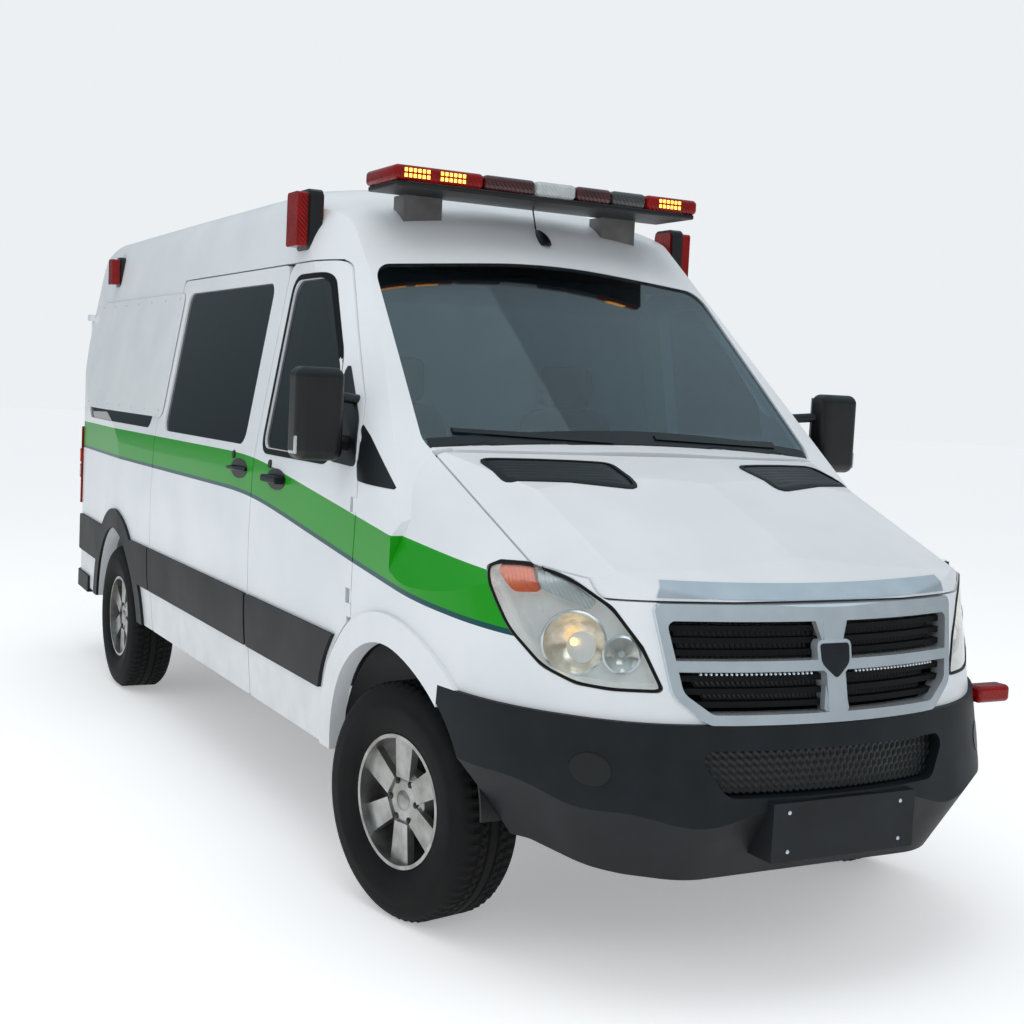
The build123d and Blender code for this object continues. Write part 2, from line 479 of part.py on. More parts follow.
for side, name in ((1, "left"), (-1, "right")):
    tyre, rim = wheel_parts(0, side)
    write(f"front_tyre_{name}", turned_with_steering(tyre, side))
    write(f"front_rim_{name}", turned_with_steering(rim, side))
    write(f"rear_tyre_{name}", Pos(REAR_X, 0, 0) * tyre)
    write(f"rear_rim_{name}", Pos(REAR_X, 0, 0) * rim)
    upright = box(-40, 40, side * 780 - 25, side * 780 + 25, ARM_TOP_Z + SEAT, 520)
    upright = upright + rod((0, side * KINGPIN_Y, ARM_TOP_Z + SEAT), (0, side * KINGPIN_Y, 545), 24)
    stub = cross_disc(0, TYRE_R, 60, *sorted((side * 775, side * (TRACK_HALF + HUB_FACE - SEAT))))
    disc = cross_disc(0, TYRE_R, 150, *sorted((side * 812, side * 836)))
    write(f"knuckle_{name}", turned_with_steering(upright + stub + disc, side))

# Cab: dashboard with column, steering wheel, seats and partition.
dash = [(-630, SHELF_Z, 30), (-215, SHELF_Z, 0), (-215, 1350, 20), (-520, 1400, 80), (-720, 1330, 70), (-690, 1080, 60)]
wheel_at = Vector(*WHEEL_AT)
axis_dir = Vector(-cos(radians(WHEEL_LEAN)), 0, sin(radians(WHEEL_LEAN)))
column = rod(tuple(wheel_at - axis_dir * 210), tuple(wheel_at - axis_dir * (20 + SEAT)), 32)
write("dashboard", side_prism(dash, -790, 790) + column)
steering = Torus(195, 16) + Cylinder(62, 40)
for k in (-30, 90, 210):
    steering = steering + (Rot(0, 0, k) * box(40, 195, -18, 18, -8, 8))
write("steering_wheel", Plane(wheel_at, x_dir=(0, 1, 0), z_dir=axis_dir) * steering)
seats = []
for y in (-400, 400):
    cushion = fillet(box(-1330, -870, y - 240, y + 240, 890, 1010).edges(), 35)
    recline = [(-1335, 950, 0), (-1235, 950, 0), (-1345, 1600, 0), (-1440, 1600, 0)]
    back = fillet(side_prism(recline, y - 235, y + 235).edges(), 30)
    head = fillet(box(-1442, -1352, y - 130, y + 130, 1590, 1780).edges(), 30)
    seats += (cushion + back + head + box(-1300, -920, y - 190, y + 190, CAB_FLOOR_Z, 900)).solids()
write("seats", seats)
partition = box(PARTITION_X + SEAT, PARTITION_X + PARTITION_T, -1000, 1000, CAB_FLOOR_Z, 2140)
write("partition", partition & body(WALL))
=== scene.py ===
"""Dresses the ambulance van: paint and livery, lamps, light bar, tyres, trim, cab and studio.

Lengths are metres. Pieces are worked out with x = 0 at the front axle, +X forward, +Y left and +Z up.
They are moved to the shared frame when their mesh is made.
"""

import json
import logging
import math
from dataclasses import dataclass, field
from enum import Enum
from typing import Sequence

import bmesh
import bpy
import numpy as np
from mathutils import Matrix, Vector


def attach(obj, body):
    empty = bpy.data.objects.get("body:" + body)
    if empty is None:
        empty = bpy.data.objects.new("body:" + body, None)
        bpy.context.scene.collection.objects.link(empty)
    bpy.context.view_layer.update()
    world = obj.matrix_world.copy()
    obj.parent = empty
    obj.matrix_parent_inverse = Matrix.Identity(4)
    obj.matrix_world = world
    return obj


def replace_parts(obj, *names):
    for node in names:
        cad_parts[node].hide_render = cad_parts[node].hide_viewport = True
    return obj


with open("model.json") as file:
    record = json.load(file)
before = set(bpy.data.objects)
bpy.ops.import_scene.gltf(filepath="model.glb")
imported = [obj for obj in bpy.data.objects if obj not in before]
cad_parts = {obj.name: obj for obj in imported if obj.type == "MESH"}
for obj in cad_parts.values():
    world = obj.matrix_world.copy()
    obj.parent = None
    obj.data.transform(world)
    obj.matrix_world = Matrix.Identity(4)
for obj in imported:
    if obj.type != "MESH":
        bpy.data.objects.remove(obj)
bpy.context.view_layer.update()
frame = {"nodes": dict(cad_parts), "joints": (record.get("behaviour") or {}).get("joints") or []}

LOG = logging.getLogger("van")
JOINTS = {joint["name"]: joint for joint in frame["joints"]}
FRONT_AXLE_X = JOINTS["steer_left"]["pos_m"][0]
MM = 0.001
SHARP = math.radians(38)
MERGE = 1e-5
SLIVER = 1e-6
IN_COLOUR = {"data_type": "RGBA"}
# The length of one wave of the wave texture at a scale of 1.
WAVE_LENGTH = 0.314

Array = np.ndarray
Point = Sequence[float]
Outline = tuple[tuple[float, float], ...]
Tree = bpy.types.NodeTree
Socket = bpy.types.NodeSocket
Piece = bpy.types.Object


class Body(str, Enum):
    """The bodies that the new pieces ride on."""

    SHELL = "body"
    HOOD = "hood"


class Side(Enum):
    """A side of the vehicle, with its sign along Y."""

    LEFT = 1
    RIGHT = -1

    @property
    def word(self) -> str:
        """The side as the word that names of nodes and bodies end in."""
        return self.name.lower()


def linear(colour: str) -> tuple[float, float, float, float]:
    """Turns an sRGB hex colour to linear light.

    Args:
        colour: six hex digits, with or without a leading #.

    Returns:
        Red, green, blue and an alpha of 1.
    """
    parts = np.array([int(colour.lstrip("#")[i : i + 2], 16) for i in (0, 2, 4)]) / 255
    light = np.where(parts <= 0.04045, parts / 12.92, ((parts + 0.055) / 1.055) ** 2.4)
    return (*light.tolist(), 1.0)


def unit(vector: Point) -> Array:
    """A vector scaled to length one.

    Args:
        vector: any vector but zero.

    Returns:
        The same direction, with length one.
    """
    array = np.asarray(vector, dtype=float)
    return array / np.linalg.norm(array)


@dataclass
class Stack:
    """Collects surfaces, given as grids of points, that become one mesh."""

    points: list[Array] = field(default_factory=list)
    faces: list[Array] = field(default_factory=list)
    count: int = 0

    def grid(self, surface: Array, around: bool = False, along: bool = False) -> "Stack":
        """Adds a grid of quads.

        Args:
            surface: points of shape (m, n, 3), a function of two parameters.
            around: joins the last column to the first.
            along: joins the last row to the first.

        Returns:
            The stack itself.
        """
        rows, columns = surface.shape[:2]
        index = np.arange(rows * columns).reshape(rows, columns)
        if around:
            index = np.hstack([index, index[:, :1]])
        if along:
            index = np.vstack([index, index[:1]])
        quads = np.stack([index[:-1, :-1], index[:-1, 1:], index[1:, 1:], index[1:, :-1]], axis=-1)
        self.points.append(surface.reshape(-1, 3))
        self.faces.append(quads.reshape(-1, 4) + self.count)
        self.count += rows * columns
        return self

    def build(self, name: str, material: bpy.types.Material, smooth: bool = True) -> Piece:
        """Puts the collected surfaces into one object, with doubles merged and faces turned outward.

        Args:
            name: the piece's name.
            material: its finish.
            smooth: shades it smooth up to sharp edges.

        Returns:
            The new object, at the origin.
        """
        points = np.concatenate(self.points) + (FRONT_AXLE_X, 0, 0)
        faces = np.concatenate(self.faces)
        mesh = bpy.data.meshes.new(name)
        mesh.vertices.add(len(points))
        mesh.vertices.foreach_set("co", points.ravel())
        mesh.loops.add(faces.size)
        mesh.loops.foreach_set("vertex_index", faces.ravel())
        mesh.polygons.add(len(faces))
        mesh.polygons.foreach_set("loop_start", np.arange(0, faces.size, 4))
        mesh.update(calc_edges=True)
        work = bmesh.new()
        work.from_mesh(mesh)
        bmesh.ops.remove_doubles(work, verts=work.verts, dist=MERGE)
        bmesh.ops.dissolve_degenerate(work, edges=work.edges, dist=SLIVER)
        bmesh.ops.recalc_face_normals(work, faces=work.faces)
        work.to_mesh(mesh)
        work.free()
        mesh.materials.append(material)
        piece = bpy.data.objects.new(name, mesh)
        bpy.context.scene.collection.objects.link(piece)
        if smooth:
            mesh.shade_smooth()
            mesh.set_sharp_from_angle(angle=SHARP)
        LOG.info("piece %s: %d faces", name, len(mesh.polygons))
        return piece


def lathe(profile: Sequence[tuple[float, float]], origin: Point, axis: Point, turns: int = 48) -> Array:
    """A profile turned about an axis: origin + h * axis + r * (cos a, sin a) across it.

    Args:
        profile: (radius, height along the axis) pairs.
        origin: a point on the axis.
        axis: the axis direction.
        turns: points around.

    Returns:
        A grid of shape (profile, turns, 3), to be joined around.
    """
    along = unit(axis)
    side = unit(np.cross(along, (0.0, 0.0, 1.0) if abs(along[2]) < 0.9 else (1.0, 0.0, 0.0)))
    other = np.cross(along, side)
    radius, height = np.array(profile, dtype=float).T
    angle = np.linspace(0, 2 * np.pi, turns, endpoint=False)
    ring = np.cos(angle)[:, None] * side + np.sin(angle)[:, None] * other
    return np.asarray(origin) + height[:, None, None] * along + radius[:, None, None] * ring[None]


def rounded_box(
    centre: Point, half: Point, radius: float, axes: Array | None = None, steps: int = 6,
) -> Array:
    """A box with round edges.

    A small sphere's surface, with each eighth pushed out to a corner of a core box.

    Args:
        centre: the middle of the box.
        half: half its size along each axis.
        radius: the edge radius.
        axes: three rows that give the box's own axes.
        steps: points per quarter circle.

    Returns:
        A grid to be joined around, with both poles closed.
    """
    around = (np.arange(4 * steps) + 0.5) / (4 * steps) * 2 * np.pi
    up = np.linspace(-np.pi / 2, np.pi / 2, 2 * steps + 2)
    u, v = np.meshgrid(around, up)
    normal = np.stack([np.cos(v) * np.cos(u), np.cos(v) * np.sin(u), np.sin(v)], axis=-1)
    corner = np.stack([np.sign(np.cos(u)), np.sign(np.sin(u)), np.sign(np.sin(v))], axis=-1)
    surface = corner * (np.asarray(half) - radius) + normal * radius
    poles = np.zeros((1, surface.shape[1], 3))
    bottom, top = poles - (0, 0, half[2]), poles + (0, 0, half[2])
    surface = np.concatenate([bottom, surface, top])
    return np.asarray(centre) + surface @ (np.eye(3) if axes is None else axes)


def carried(path: Array, section: Array, up: Point = (0, 0, 1), closed: bool = False) -> Array:
    """A closed section carried along a path.

    Path + a * side + b * up', with side and up' square to the path.

    Args:
        path: points of shape (n, 3).
        section: (side, up) pairs of shape (m, 2).
        up: the direction that stays up.
        closed: whether the path returns to its start.

    Returns:
        A grid of shape (n, m, 3), to be joined around; an open path gets its ends closed.
    """
    tangent = np.roll(path, -1, axis=0) - np.roll(path, 1, axis=0) if closed else np.gradient(path, axis=0)
    tangent /= np.linalg.norm(tangent, axis=1, keepdims=True)
    side = np.cross(tangent, np.asarray(up, dtype=float))
    side /= np.linalg.norm(side, axis=1, keepdims=True)
    lift = np.cross(side, tangent)
    surface = path[:, None] + section[None, :, :1] * side[:, None] + section[None, :, 1:] * lift[:, None]
    if closed:
        return surface
    start, end = (np.repeat(surface[i].mean(axis=0)[None, None], len(section), axis=1) for i in (0, -1))
    return np.concatenate([start, surface, end])


def circle(radius: float, count: int = 12, flat: float = 1.0) -> Array:
    """A round or oval section: radius * (cos a, flat * sin a).

    Args:
        radius: half its width.
        count: points around.
        flat: its height as a share of its width.

    Returns:
        Points of shape (count, 2).
    """
    angle = np.linspace(0, 2 * np.pi, count, endpoint=False)
    return np.stack([radius * np.cos(angle), radius * flat * np.sin(angle)], axis=1)


def filled(outline: Array, rings: int = 8) -> Array:
    """An outline shrunk ring by ring to its middle: middle + s * (outline - middle), s from 1 to 0.

    Args:
        outline: a closed outline's points.
        rings: how many rings, the last of which is the middle.

    Returns:
        A grid of shape (rings, points, dimensions), to be joined around.
    """
    share = np.linspace(1, 0, rings)[:, None, None]
    middle = outline.mean(axis=0)
    return middle + share * (outline - middle)[None]


def add_node(tree: Tree, kind: str, settings: dict | None = None, **inputs: object) -> bpy.types.Node:
    """Adds a shader node.

    Args:
        tree: the material's node tree.
        kind: the node's type, without ShaderNode in front.
        settings: attributes to set on the node.
        inputs: socket names, with _ for a space and i0, i1 and so on for numbered ones.

    Returns:
        The node.
    """
    node = tree.nodes.new(f"ShaderNode{kind}")
    for key, value in (settings or {}).items():
        setattr(node, key, value)
    for key, value in inputs.items():
        numbered = key[0] == "i" and key[1:].isdigit()
        socket = node.inputs[int(key[1:]) if numbered else key.replace("_", " ")]
        if isinstance(value, Socket):
            tree.links.new(value, socket)
        else:
            socket.default_value = value
    return node


@dataclass(frozen=True)
class Finish:
    """A surface: its colour with a soft mottle, its gloss with smears, and the grain left by its making."""

    name: str
    colour: str
    shade: str
    roughness: float = 0.5
    smear: float = 0.08
    metallic: float = 0.0
    coat: float = 0.0
    mottle_mm: float = 60.0
    grain_mm: float = 2.0
    grain: float = 0.1
    ior: float = 1.5

    def colour_of(self, tree: Tree, place: Socket) -> Socket:
        """Mixes the two colours by a soft noise.

        Args:
            tree: the material's nodes.
            place: object coordinates.

        Returns:
            The colour socket.
        """
        noise = add_node(tree, "TexNoise", Vector=place, Scale=1 / (self.mottle_mm * MM), Detail=4.0)
        spread = add_node(tree, "MapRange", Value=noise.outputs["Fac"], From_Min=0.35, From_Max=0.65)
        both = add_node(
            tree, "Mix", IN_COLOUR, Factor=spread.outputs["Result"], A=linear(self.colour),
            B=linear(self.shade),
        )
        return both.outputs["Result"]

    def dress(self, tree: Tree, shader: bpy.types.Node, place: Socket) -> None:
        """Sets what a kind of finish adds to the common shader, from the place on the piece."""

    def material(self) -> bpy.types.Material:
        """Builds the material once and gives it back afterwards.

        Returns:
            The material.
        """
        if self.name in bpy.data.materials:
            return bpy.data.materials[self.name]
        material = bpy.data.materials.new(self.name)
        material.use_nodes = True
        tree = material.node_tree
        shader = tree.nodes["Principled BSDF"]
        place = add_node(tree, "TexCoord").outputs["Object"]
        tree.links.new(self.colour_of(tree, place), shader.inputs["Base Color"])
        smear = add_node(tree, "TexNoise", Vector=place, Scale=1 / (4 * self.mottle_mm * MM), Detail=5.0)
        gloss = add_node(
            tree, "MapRange", Value=smear.outputs["Fac"], To_Min=max(self.roughness - self.smear, 0.02),
            To_Max=self.roughness + self.smear,
        )
        tree.links.new(gloss.outputs["Result"], shader.inputs["Roughness"])
        shader.inputs["Metallic"].default_value = self.metallic
        shader.inputs["Coat Weight"].default_value = self.coat
        shader.inputs["IOR"].default_value = self.ior
        if self.grain:
            grain = add_node(tree, "TexNoise", Vector=place, Scale=1 / (self.grain_mm * MM), Detail=2.0)
            bump = add_node(
                tree, "Bump", Height=grain.outputs["Fac"], Strength=self.grain,
                Distance=self.grain_mm * MM * 0.3,
            )
            tree.links.new(bump.outputs["Normal"], shader.inputs["Normal"])
        self.dress(tree, shader, place)
        return material


@dataclass(frozen=True)
class Enamel(Finish):
    """White enamel under clear lacquer, with road film low down and a two-colour stripe along the sides."""

    stripe: str = "#14940F"
    edge: str = "#0B4A4E"
    film: str = "#A9ABA6"
    striped: bool = True
    low: float = 1.225
    high: float = 1.363
    edge_width: float = 0.016
    fall_from: float = -1.42
    fall: float = 0.118
    side_from: float = 0.70
    facing_from: float = -0.10
    fall_bend: float = 0.5
    film_scale: float = 9.0
    film_full: float = 0.42
    film_end: float = 0.95
    film_most: float = 0.55

    def colour_of(self, tree: Tree, place: Socket) -> Socket:
        """White, then film near the ground, then the stripe.

        The stripe is a level band on outward faces, whose height falls ahead of the cab door's rear edge.

        Args:
            tree: the material's nodes.
            place: object coordinates.

        Returns:
            The colour socket.
        """
        white = super().colour_of(tree, place)
        times, over, under = ({"operation": what} for what in ("MULTIPLY", "GREATER_THAN", "LESS_THAN"))
        axes = add_node(tree, "SeparateXYZ", Vector=place).outputs
        noise = add_node(tree, "TexNoise", Vector=place, Scale=self.film_scale, Detail=6.0).outputs["Fac"]
        near = add_node(
            tree, "MapRange", Value=axes["Z"], From_Min=self.film_full, From_Max=self.film_end,
            To_Min=self.film_most, To_Max=0.0,
        ).outputs["Result"]
        film = add_node(tree, "Math", times, i0=near, i1=noise).outputs["Value"]
        result = add_node(tree, "Mix", IN_COLOUR, Factor=film, A=white, B=linear(self.film)).outputs["Result"]
        if not self.striped:
            return result
        ahead = add_node(
            tree, "Math", {"operation": "SUBTRACT"}, i0=axes["X"], i1=FRONT_AXLE_X + self.fall_from,
        ).outputs["Value"]
        slope = add_node(
            tree, "Math", {"operation": "SMOOTH_MAX"}, i0=ahead, i1=0.0, i2=self.fall_bend,
        ).outputs["Value"]
        level = add_node(
            tree, "Math", {"operation": "MULTIPLY_ADD"}, i0=slope, i1=self.fall, i2=axes["Z"],
        ).outputs["Value"]
        normal = add_node(tree, "TexCoord").outputs["Normal"]
        facing = add_node(tree, "SeparateXYZ", Vector=normal).outputs["Y"]
        turned = add_node(tree, "Math", times, i0=axes["Y"], i1=facing).outputs["Value"]
        outward = add_node(tree, "Math", over, i0=turned, i1=self.facing_from).outputs["Value"]
        width = add_node(tree, "Math", {"operation": "ABSOLUTE"}, i0=axes["Y"]).outputs["Value"]
        wide = add_node(tree, "Math", over, i0=width, i1=self.side_from).outputs["Value"]
        side = add_node(tree, "Math", times, i0=outward, i1=wide).outputs["Value"]
        for bottom, colour in ((self.low - self.edge_width, self.edge), (self.low, self.stripe)):
            above = add_node(tree, "Math", over, i0=level, i1=bottom).outputs["Value"]
            below = add_node(tree, "Math", under, i0=level, i1=self.high).outputs["Value"]
            inside = add_node(tree, "Math", times, i0=above, i1=below).outputs["Value"]
            mask = add_node(tree, "Math", times, i0=inside, i1=side).outputs["Value"]
            mix = add_node(tree, "Mix", IN_COLOUR, Factor=mask, A=result, B=linear(colour))
            result = mix.outputs["Result"]
        return result


@dataclass(frozen=True)
class Pane(Finish):
    """Float glass: clear, bright at a slant and tinted in the mass, some with a shade band at the top."""

    tint: str = "#9FB4B8"
    band_from: float = 9.0
    band_to: float = 10.0
    band: str = "#20343C"

    def dress(self, tree: Tree, shader: bpy.types.Node, place: Socket) -> None:
        """Lets light through, tinted, and lets lamps light what is behind.

        Args:
            tree: the material's nodes.
            shader: the common shader.
            place: object coordinates.
        """
        height = add_node(tree, "SeparateXYZ", Vector=place).outputs["Z"]
        share = add_node(tree, "MapRange", Value=height, From_Min=self.band_from, From_Max=self.band_to)
        tint = add_node(
            tree, "Mix", IN_COLOUR, Factor=share.outputs["Result"], A=linear(self.tint), B=linear(self.band),
        ).outputs["Result"]
        tree.links.new(tint, shader.inputs["Base Color"])
        shader.inputs["Transmission Weight"].default_value = 1.0
        shadow = add_node(tree, "LightPath").outputs["Is Shadow Ray"]
        clear = add_node(tree, "BsdfTransparent", Color=tint).outputs["BSDF"]
        mix = add_node(tree, "MixShader", i0=shadow, i1=shader.outputs["BSDF"], i2=clear)
        tree.links.new(mix.outputs["Shader"], tree.nodes["Material Output"].inputs["Surface"])


@dataclass(frozen=True)
class Lens(Finish):
    """A moulded lens: coloured clear plastic with upright flutes inside."""

    flute_mm: float = 9.0
    clear: float = 0.5
    flutes: float = 0.5

    def dress(self, tree: Tree, shader: bpy.types.Node, place: Socket) -> None:
        """Adds the flutes and lets some light through.

        Args:
            tree: the material's nodes.
            shader: the common shader.
            place: object coordinates.
        """
        shader.inputs["Transmission Weight"].default_value = self.clear
        wave = add_node(
            tree, "TexWave", {"bands_direction": "DIAGONAL"}, Vector=place,
            Scale=WAVE_LENGTH / (self.flute_mm * MM), Distortion=0.0,
        )
        bump = add_node(tree, "Bump", Height=wave.outputs["Fac"], Strength=self.flutes, Distance=0.002)
        tree.links.new(bump.outputs["Normal"], shader.inputs["Normal"])


@dataclass(frozen=True)
class Glow(Finish):
    """Light given off by a surface: lit lamps, the even studio floor, and painted glow on a headlamp's bowl
    and housing.
    """

    light: str = "#FFB347"
    strength: float = 3.0

    def dress(self, tree: Tree, shader: bpy.types.Node, place: Socket) -> None:
        """Adds the light."""
        shader.inputs["Emission Color"].default_value = linear(self.light)
        shader.inputs["Emission Strength"].default_value = self.strength


@dataclass(frozen=True)
class Cloth(Finish):
    """Woven seat cloth: crossed threads, drawn wider than real so that they show."""

    thread_mm: float = 5.0

    def dress(self, tree: Tree, shader: bpy.types.Node, place: Socket) -> None:
        """Adds the weave's bump and a soft sheen.

        Args:
            tree: the material's nodes.
            shader: the common shader.
            place: object coordinates.
        """
        shader.inputs["Sheen Weight"].default_value = 0.3
        threads = {}
        for key, direction in (("i0", "Y"), ("i1", "Z")):
            wave = add_node(
                tree, "TexWave", {"bands_direction": direction}, Vector=place,
                Scale=WAVE_LENGTH / (self.thread_mm * MM),
            )
            threads[key] = wave.outputs["Fac"]
        height = add_node(tree, "Math", {"operation": "MAXIMUM"}, **threads).outputs["Value"]
        bump = add_node(tree, "Bump", Height=height, Strength=0.4, Distance=0.001)
        tree.links.new(bump.outputs["Normal"], shader.inputs["Normal"])


# Grain and peel are finer than this on the real surfaces, and are drawn as coarse as they need to show.
# An IOR under 1.5 takes back the veil that the pale studio lays over a surface.

# Sprayed enamel under lacquer: a wet gloss with a faint orange peel.
WHITE = Enamel(
    "white_enamel", "#E6EAED", "#DEE3E7", 0.36, 0.05, coat=0.12, ior=1.36, mottle_mm=400, grain_mm=5,
    grain=0.02,
)
# The same enamel where no stripe runs.
BARE_WHITE = Enamel(
    "bare_white_enamel", "#E6EAED", "#DEE3E7", 0.36, 0.05, coat=0.12, ior=1.36, mottle_mm=400, grain_mm=5,
    grain=0.02, striped=False,
)
# Enamelled sheet of the boards and plates: a little duller than the body.
PLAIN_WHITE = Enamel(
    "white_board_enamel", "#E2E7E9", "#DADFE2", 0.42, 0.05, coat=0.2, mottle_mm=300, grain_mm=5,
    grain=0.02, striped=False,
)
# Grained polypropylene, moulded dark grey, a little chalky from weather.
CHARCOAL = Finish(
    "charcoal_polypropylene", "#181C20", "#131619", 0.55, 0.1, ior=1.36, mottle_mm=120, grain_mm=1.5,
    grain=0.18,
)
# Black ABS, moulded: smoother than the grey, with a soft shine.
BLACK = Finish(
    "black_moulded_plastic", "#101214", "#0B0C0E", 0.42, 0.1, mottle_mm=80, grain_mm=1.5, grain=0.1,
)
# Extruded rubber: near black, with hardly any shine.
SEAL = Finish(
    "black_seal_rubber", "#08090A", "#0D0E0F", 0.6, 0.1, ior=1.3, mottle_mm=40, grain_mm=1.5, grain=0.1,
)
# Bright plating: a mirror with the faint haze of road film.
CHROME = Finish("bright_plating", "#DCE3E9", "#D2DAE0", 0.18, 0.05, metallic=0.6, mottle_mm=90, grain=0.0)
# Silver lacquer on plastic: bright, but with no sharp mirror image.
SATIN = Finish(
    "satin_silver_lacquer", "#C4CDD5", "#B9C3CC", 0.34, 0.06, metallic=0.55, coat=0.3, mottle_mm=140,
    grain_mm=2, grain=0.03,
)
# Cast alloy under silver lacquer, dulled by brake dust.
ALLOY = Finish(
    "silver_cast_alloy", "#B4B4B2", "#8C8A86", 0.36, 0.1, metallic=0.85, mottle_mm=70, grain_mm=2,
    grain=0.08,
)
# Forged bolt steel: dark, with a rough oxide skin.
DARK_METAL = Finish(
    "dark_bolt_steel", "#4C4A48", "#35322F", 0.45, 0.1, metallic=0.9, mottle_mm=20, grain_mm=2, grain=0.15,
)
# Moulded tyre rubber: dull black, browned by dust.
TYRE = Finish(
    "moulded_tyre_rubber", "#0D0E0F", "#151413", 0.74, 0.08, ior=1.3, mottle_mm=90, grain_mm=2.5,
    grain=0.2,
)
# Brushed chassis paint: black and lumpy, with rust showing through in brown.
CHASSIS = Finish("black_chassis_paint", "#141516", "#26221F", 0.6, 0.1, mottle_mm=110, grain_mm=4, grain=0.3)
# Sand-cast iron: dull grey, with a coarse skin.
CAST = Finish(
    "cast_iron_grey", "#3A3A3C", "#2A2826", 0.62, 0.1, metallic=0.6, mottle_mm=60, grain_mm=4, grain=0.4,
)
# Rolled exhaust steel, browned by heat.
STEEL = Finish(
    "dull_exhaust_steel", "#77726C", "#5A5049", 0.45, 0.12, metallic=0.9, mottle_mm=80, grain_mm=3,
    grain=0.2,
)
# Floor paint: mid grey, scuffed dull in patches.
FLOOR_PAINT = Finish(
    "grey_floor_paint", "#6E7174", "#5F6265", 0.5, 0.1, mottle_mm=200, grain_mm=5, grain=0.15,
)
# Moulded dashboard plastic: matt, with a fine grain.
GREY = Finish("grey_dash_plastic", "#4A4F53", "#42474B", 0.55, 0.08, mottle_mm=150, grain_mm=2, grain=0.15)
# Painted wall lining: pale and matt.
PALE = Finish("grey_wall_lining", "#87949B", "#7B8890", 0.6, 0.08, mottle_mm=250, grain_mm=4, grain=0.1)
# Painted sheet steel: warm grey, with a soft shine.
FOOT = Finish("grey_bracket_paint", "#6A6867", "#585655", 0.45, 0.08, mottle_mm=80, grain_mm=3, grain=0.1)
# Silvered glass: a clean mirror.
MIRROR = Finish("silvered_mirror", "#E9EDF0", "#E4E9EC", 0.04, 0.01, metallic=1.0, grain=0.0)
# Laminated float glass: clear, blue grey in the mass, darker along its top.
CLEAR_GLASS = Pane(
    "laminated_windshield", "#FFFFFF", "#FFFFFF", 0.02, 0.0, grain=0.0, ior=1.58, tint="#A3B9C2",
    band_from=1.95, band_to=2.13, band="#3C5A66",
)
# Tinted float glass: smoky when looked through.
DOOR_GLASS = Pane("tinted_door_glass", "#FFFFFF", "#FFFFFF", 0.02, 0.0, grain=0.0, tint="#3E474B")
# Float glass dyed in the mass: almost black, so it shows what it mirrors.
PRIVACY = Pane("privacy_glass", "#FFFFFF", "#FFFFFF", 0.02, 0.0, grain=0.0, tint="#07090B")
# Moulded polycarbonate: clear and bright.
CLEAR_LENS = Pane("polycarbonate_lens", "#FFFFFF", "#FFFFFF", 0.03, 0.01, grain=0.0, tint="#F4F6F6")
# Moulded acrylic lenses, fluted inside: deep colours, broken by fine lines.
RED_LENS = Lens(
    "red_fluted_lens", "#980A08", "#820706", 0.22, 0.04, coat=0.15, ior=1.32, clear=0.2, grain=0.0,
)
DARK_RED = Lens("dark_red_lens", "#4A1517", "#3C1012", 0.2, 0.04, coat=0.6, clear=0.2, grain=0.0)
AMBER_LENS = Lens("amber_lens", "#F0650C", "#DC5708", 0.25, 0.04, coat=0.3, clear=0.08, grain=0.0)
WHITE_LENS = Lens("white_lens", "#DDE2E3", "#CCD2D4", 0.18, 0.04, coat=0.6, clear=0.35, grain=0.0)
SMOKE_LENS = Lens("smoke_lens", "#4B4D4C", "#3B3D3C", 0.22, 0.04, coat=0.6, clear=0.3, grain=0.0)
# Lit lamps: warm light that washes their own colour out.
AMBER_LIGHT = Glow("lit_amber", "#FFC069", "#FFA63D", 0.3, 0.05, grain=0.0, light="#FFB84D", strength=2.6)
WARM_LIGHT = Glow("lit_lamp", "#FFE3B0", "#FFD28A", 0.3, 0.05, grain=0.0, light="#FFD596", strength=1.5)
# Aluminised bowls: a rippled mirror; the lit one is warm from a painted glow that stands in for its bulb's
# reflected light.
BOWL_PAINTED_GLOW = Glow(
    "lit_lamp_bowl", "#DCD8CE", "#C6BFAE", 0.18, 0.06, metallic=0.85, mottle_mm=22, grain_mm=6,
    grain=0.15, light="#FFD08A", strength=0.10,
)
REFLECTOR = Finish(
    "lamp_reflector", "#E4E2DC", "#CFCCC4", 0.16, 0.08, metallic=0.9, mottle_mm=30, grain_mm=6, grain=0.15,
)
# Aluminised housing behind the lens: pale, with a painted glow that stands in for the light the lens lets in.
BEZEL_PAINTED_GLOW = Glow(
    "lamp_bezel", "#E9ECED", "#D9DEE0", 0.26, 0.06, metallic=0.3, mottle_mm=60, grain_mm=4, grain=0.05,
    light="#F2EFE6", strength=0.16,
)
# Woven polyester: matt, with crossed threads.
SEAT = Cloth("woven_seat_cloth", "#3A3F45", "#31353A", 0.85, 0.05, mottle_mm=60, grain_mm=2, grain=0.1)
# Studio paper: an even white.
FLOOR = Glow(
    "studio_floor", "#FCFCFC", "#FAFAFB", 0.9, 0.05, mottle_mm=1500, grain=0.0, light="#FAFBFD",
    strength=0.34,
)

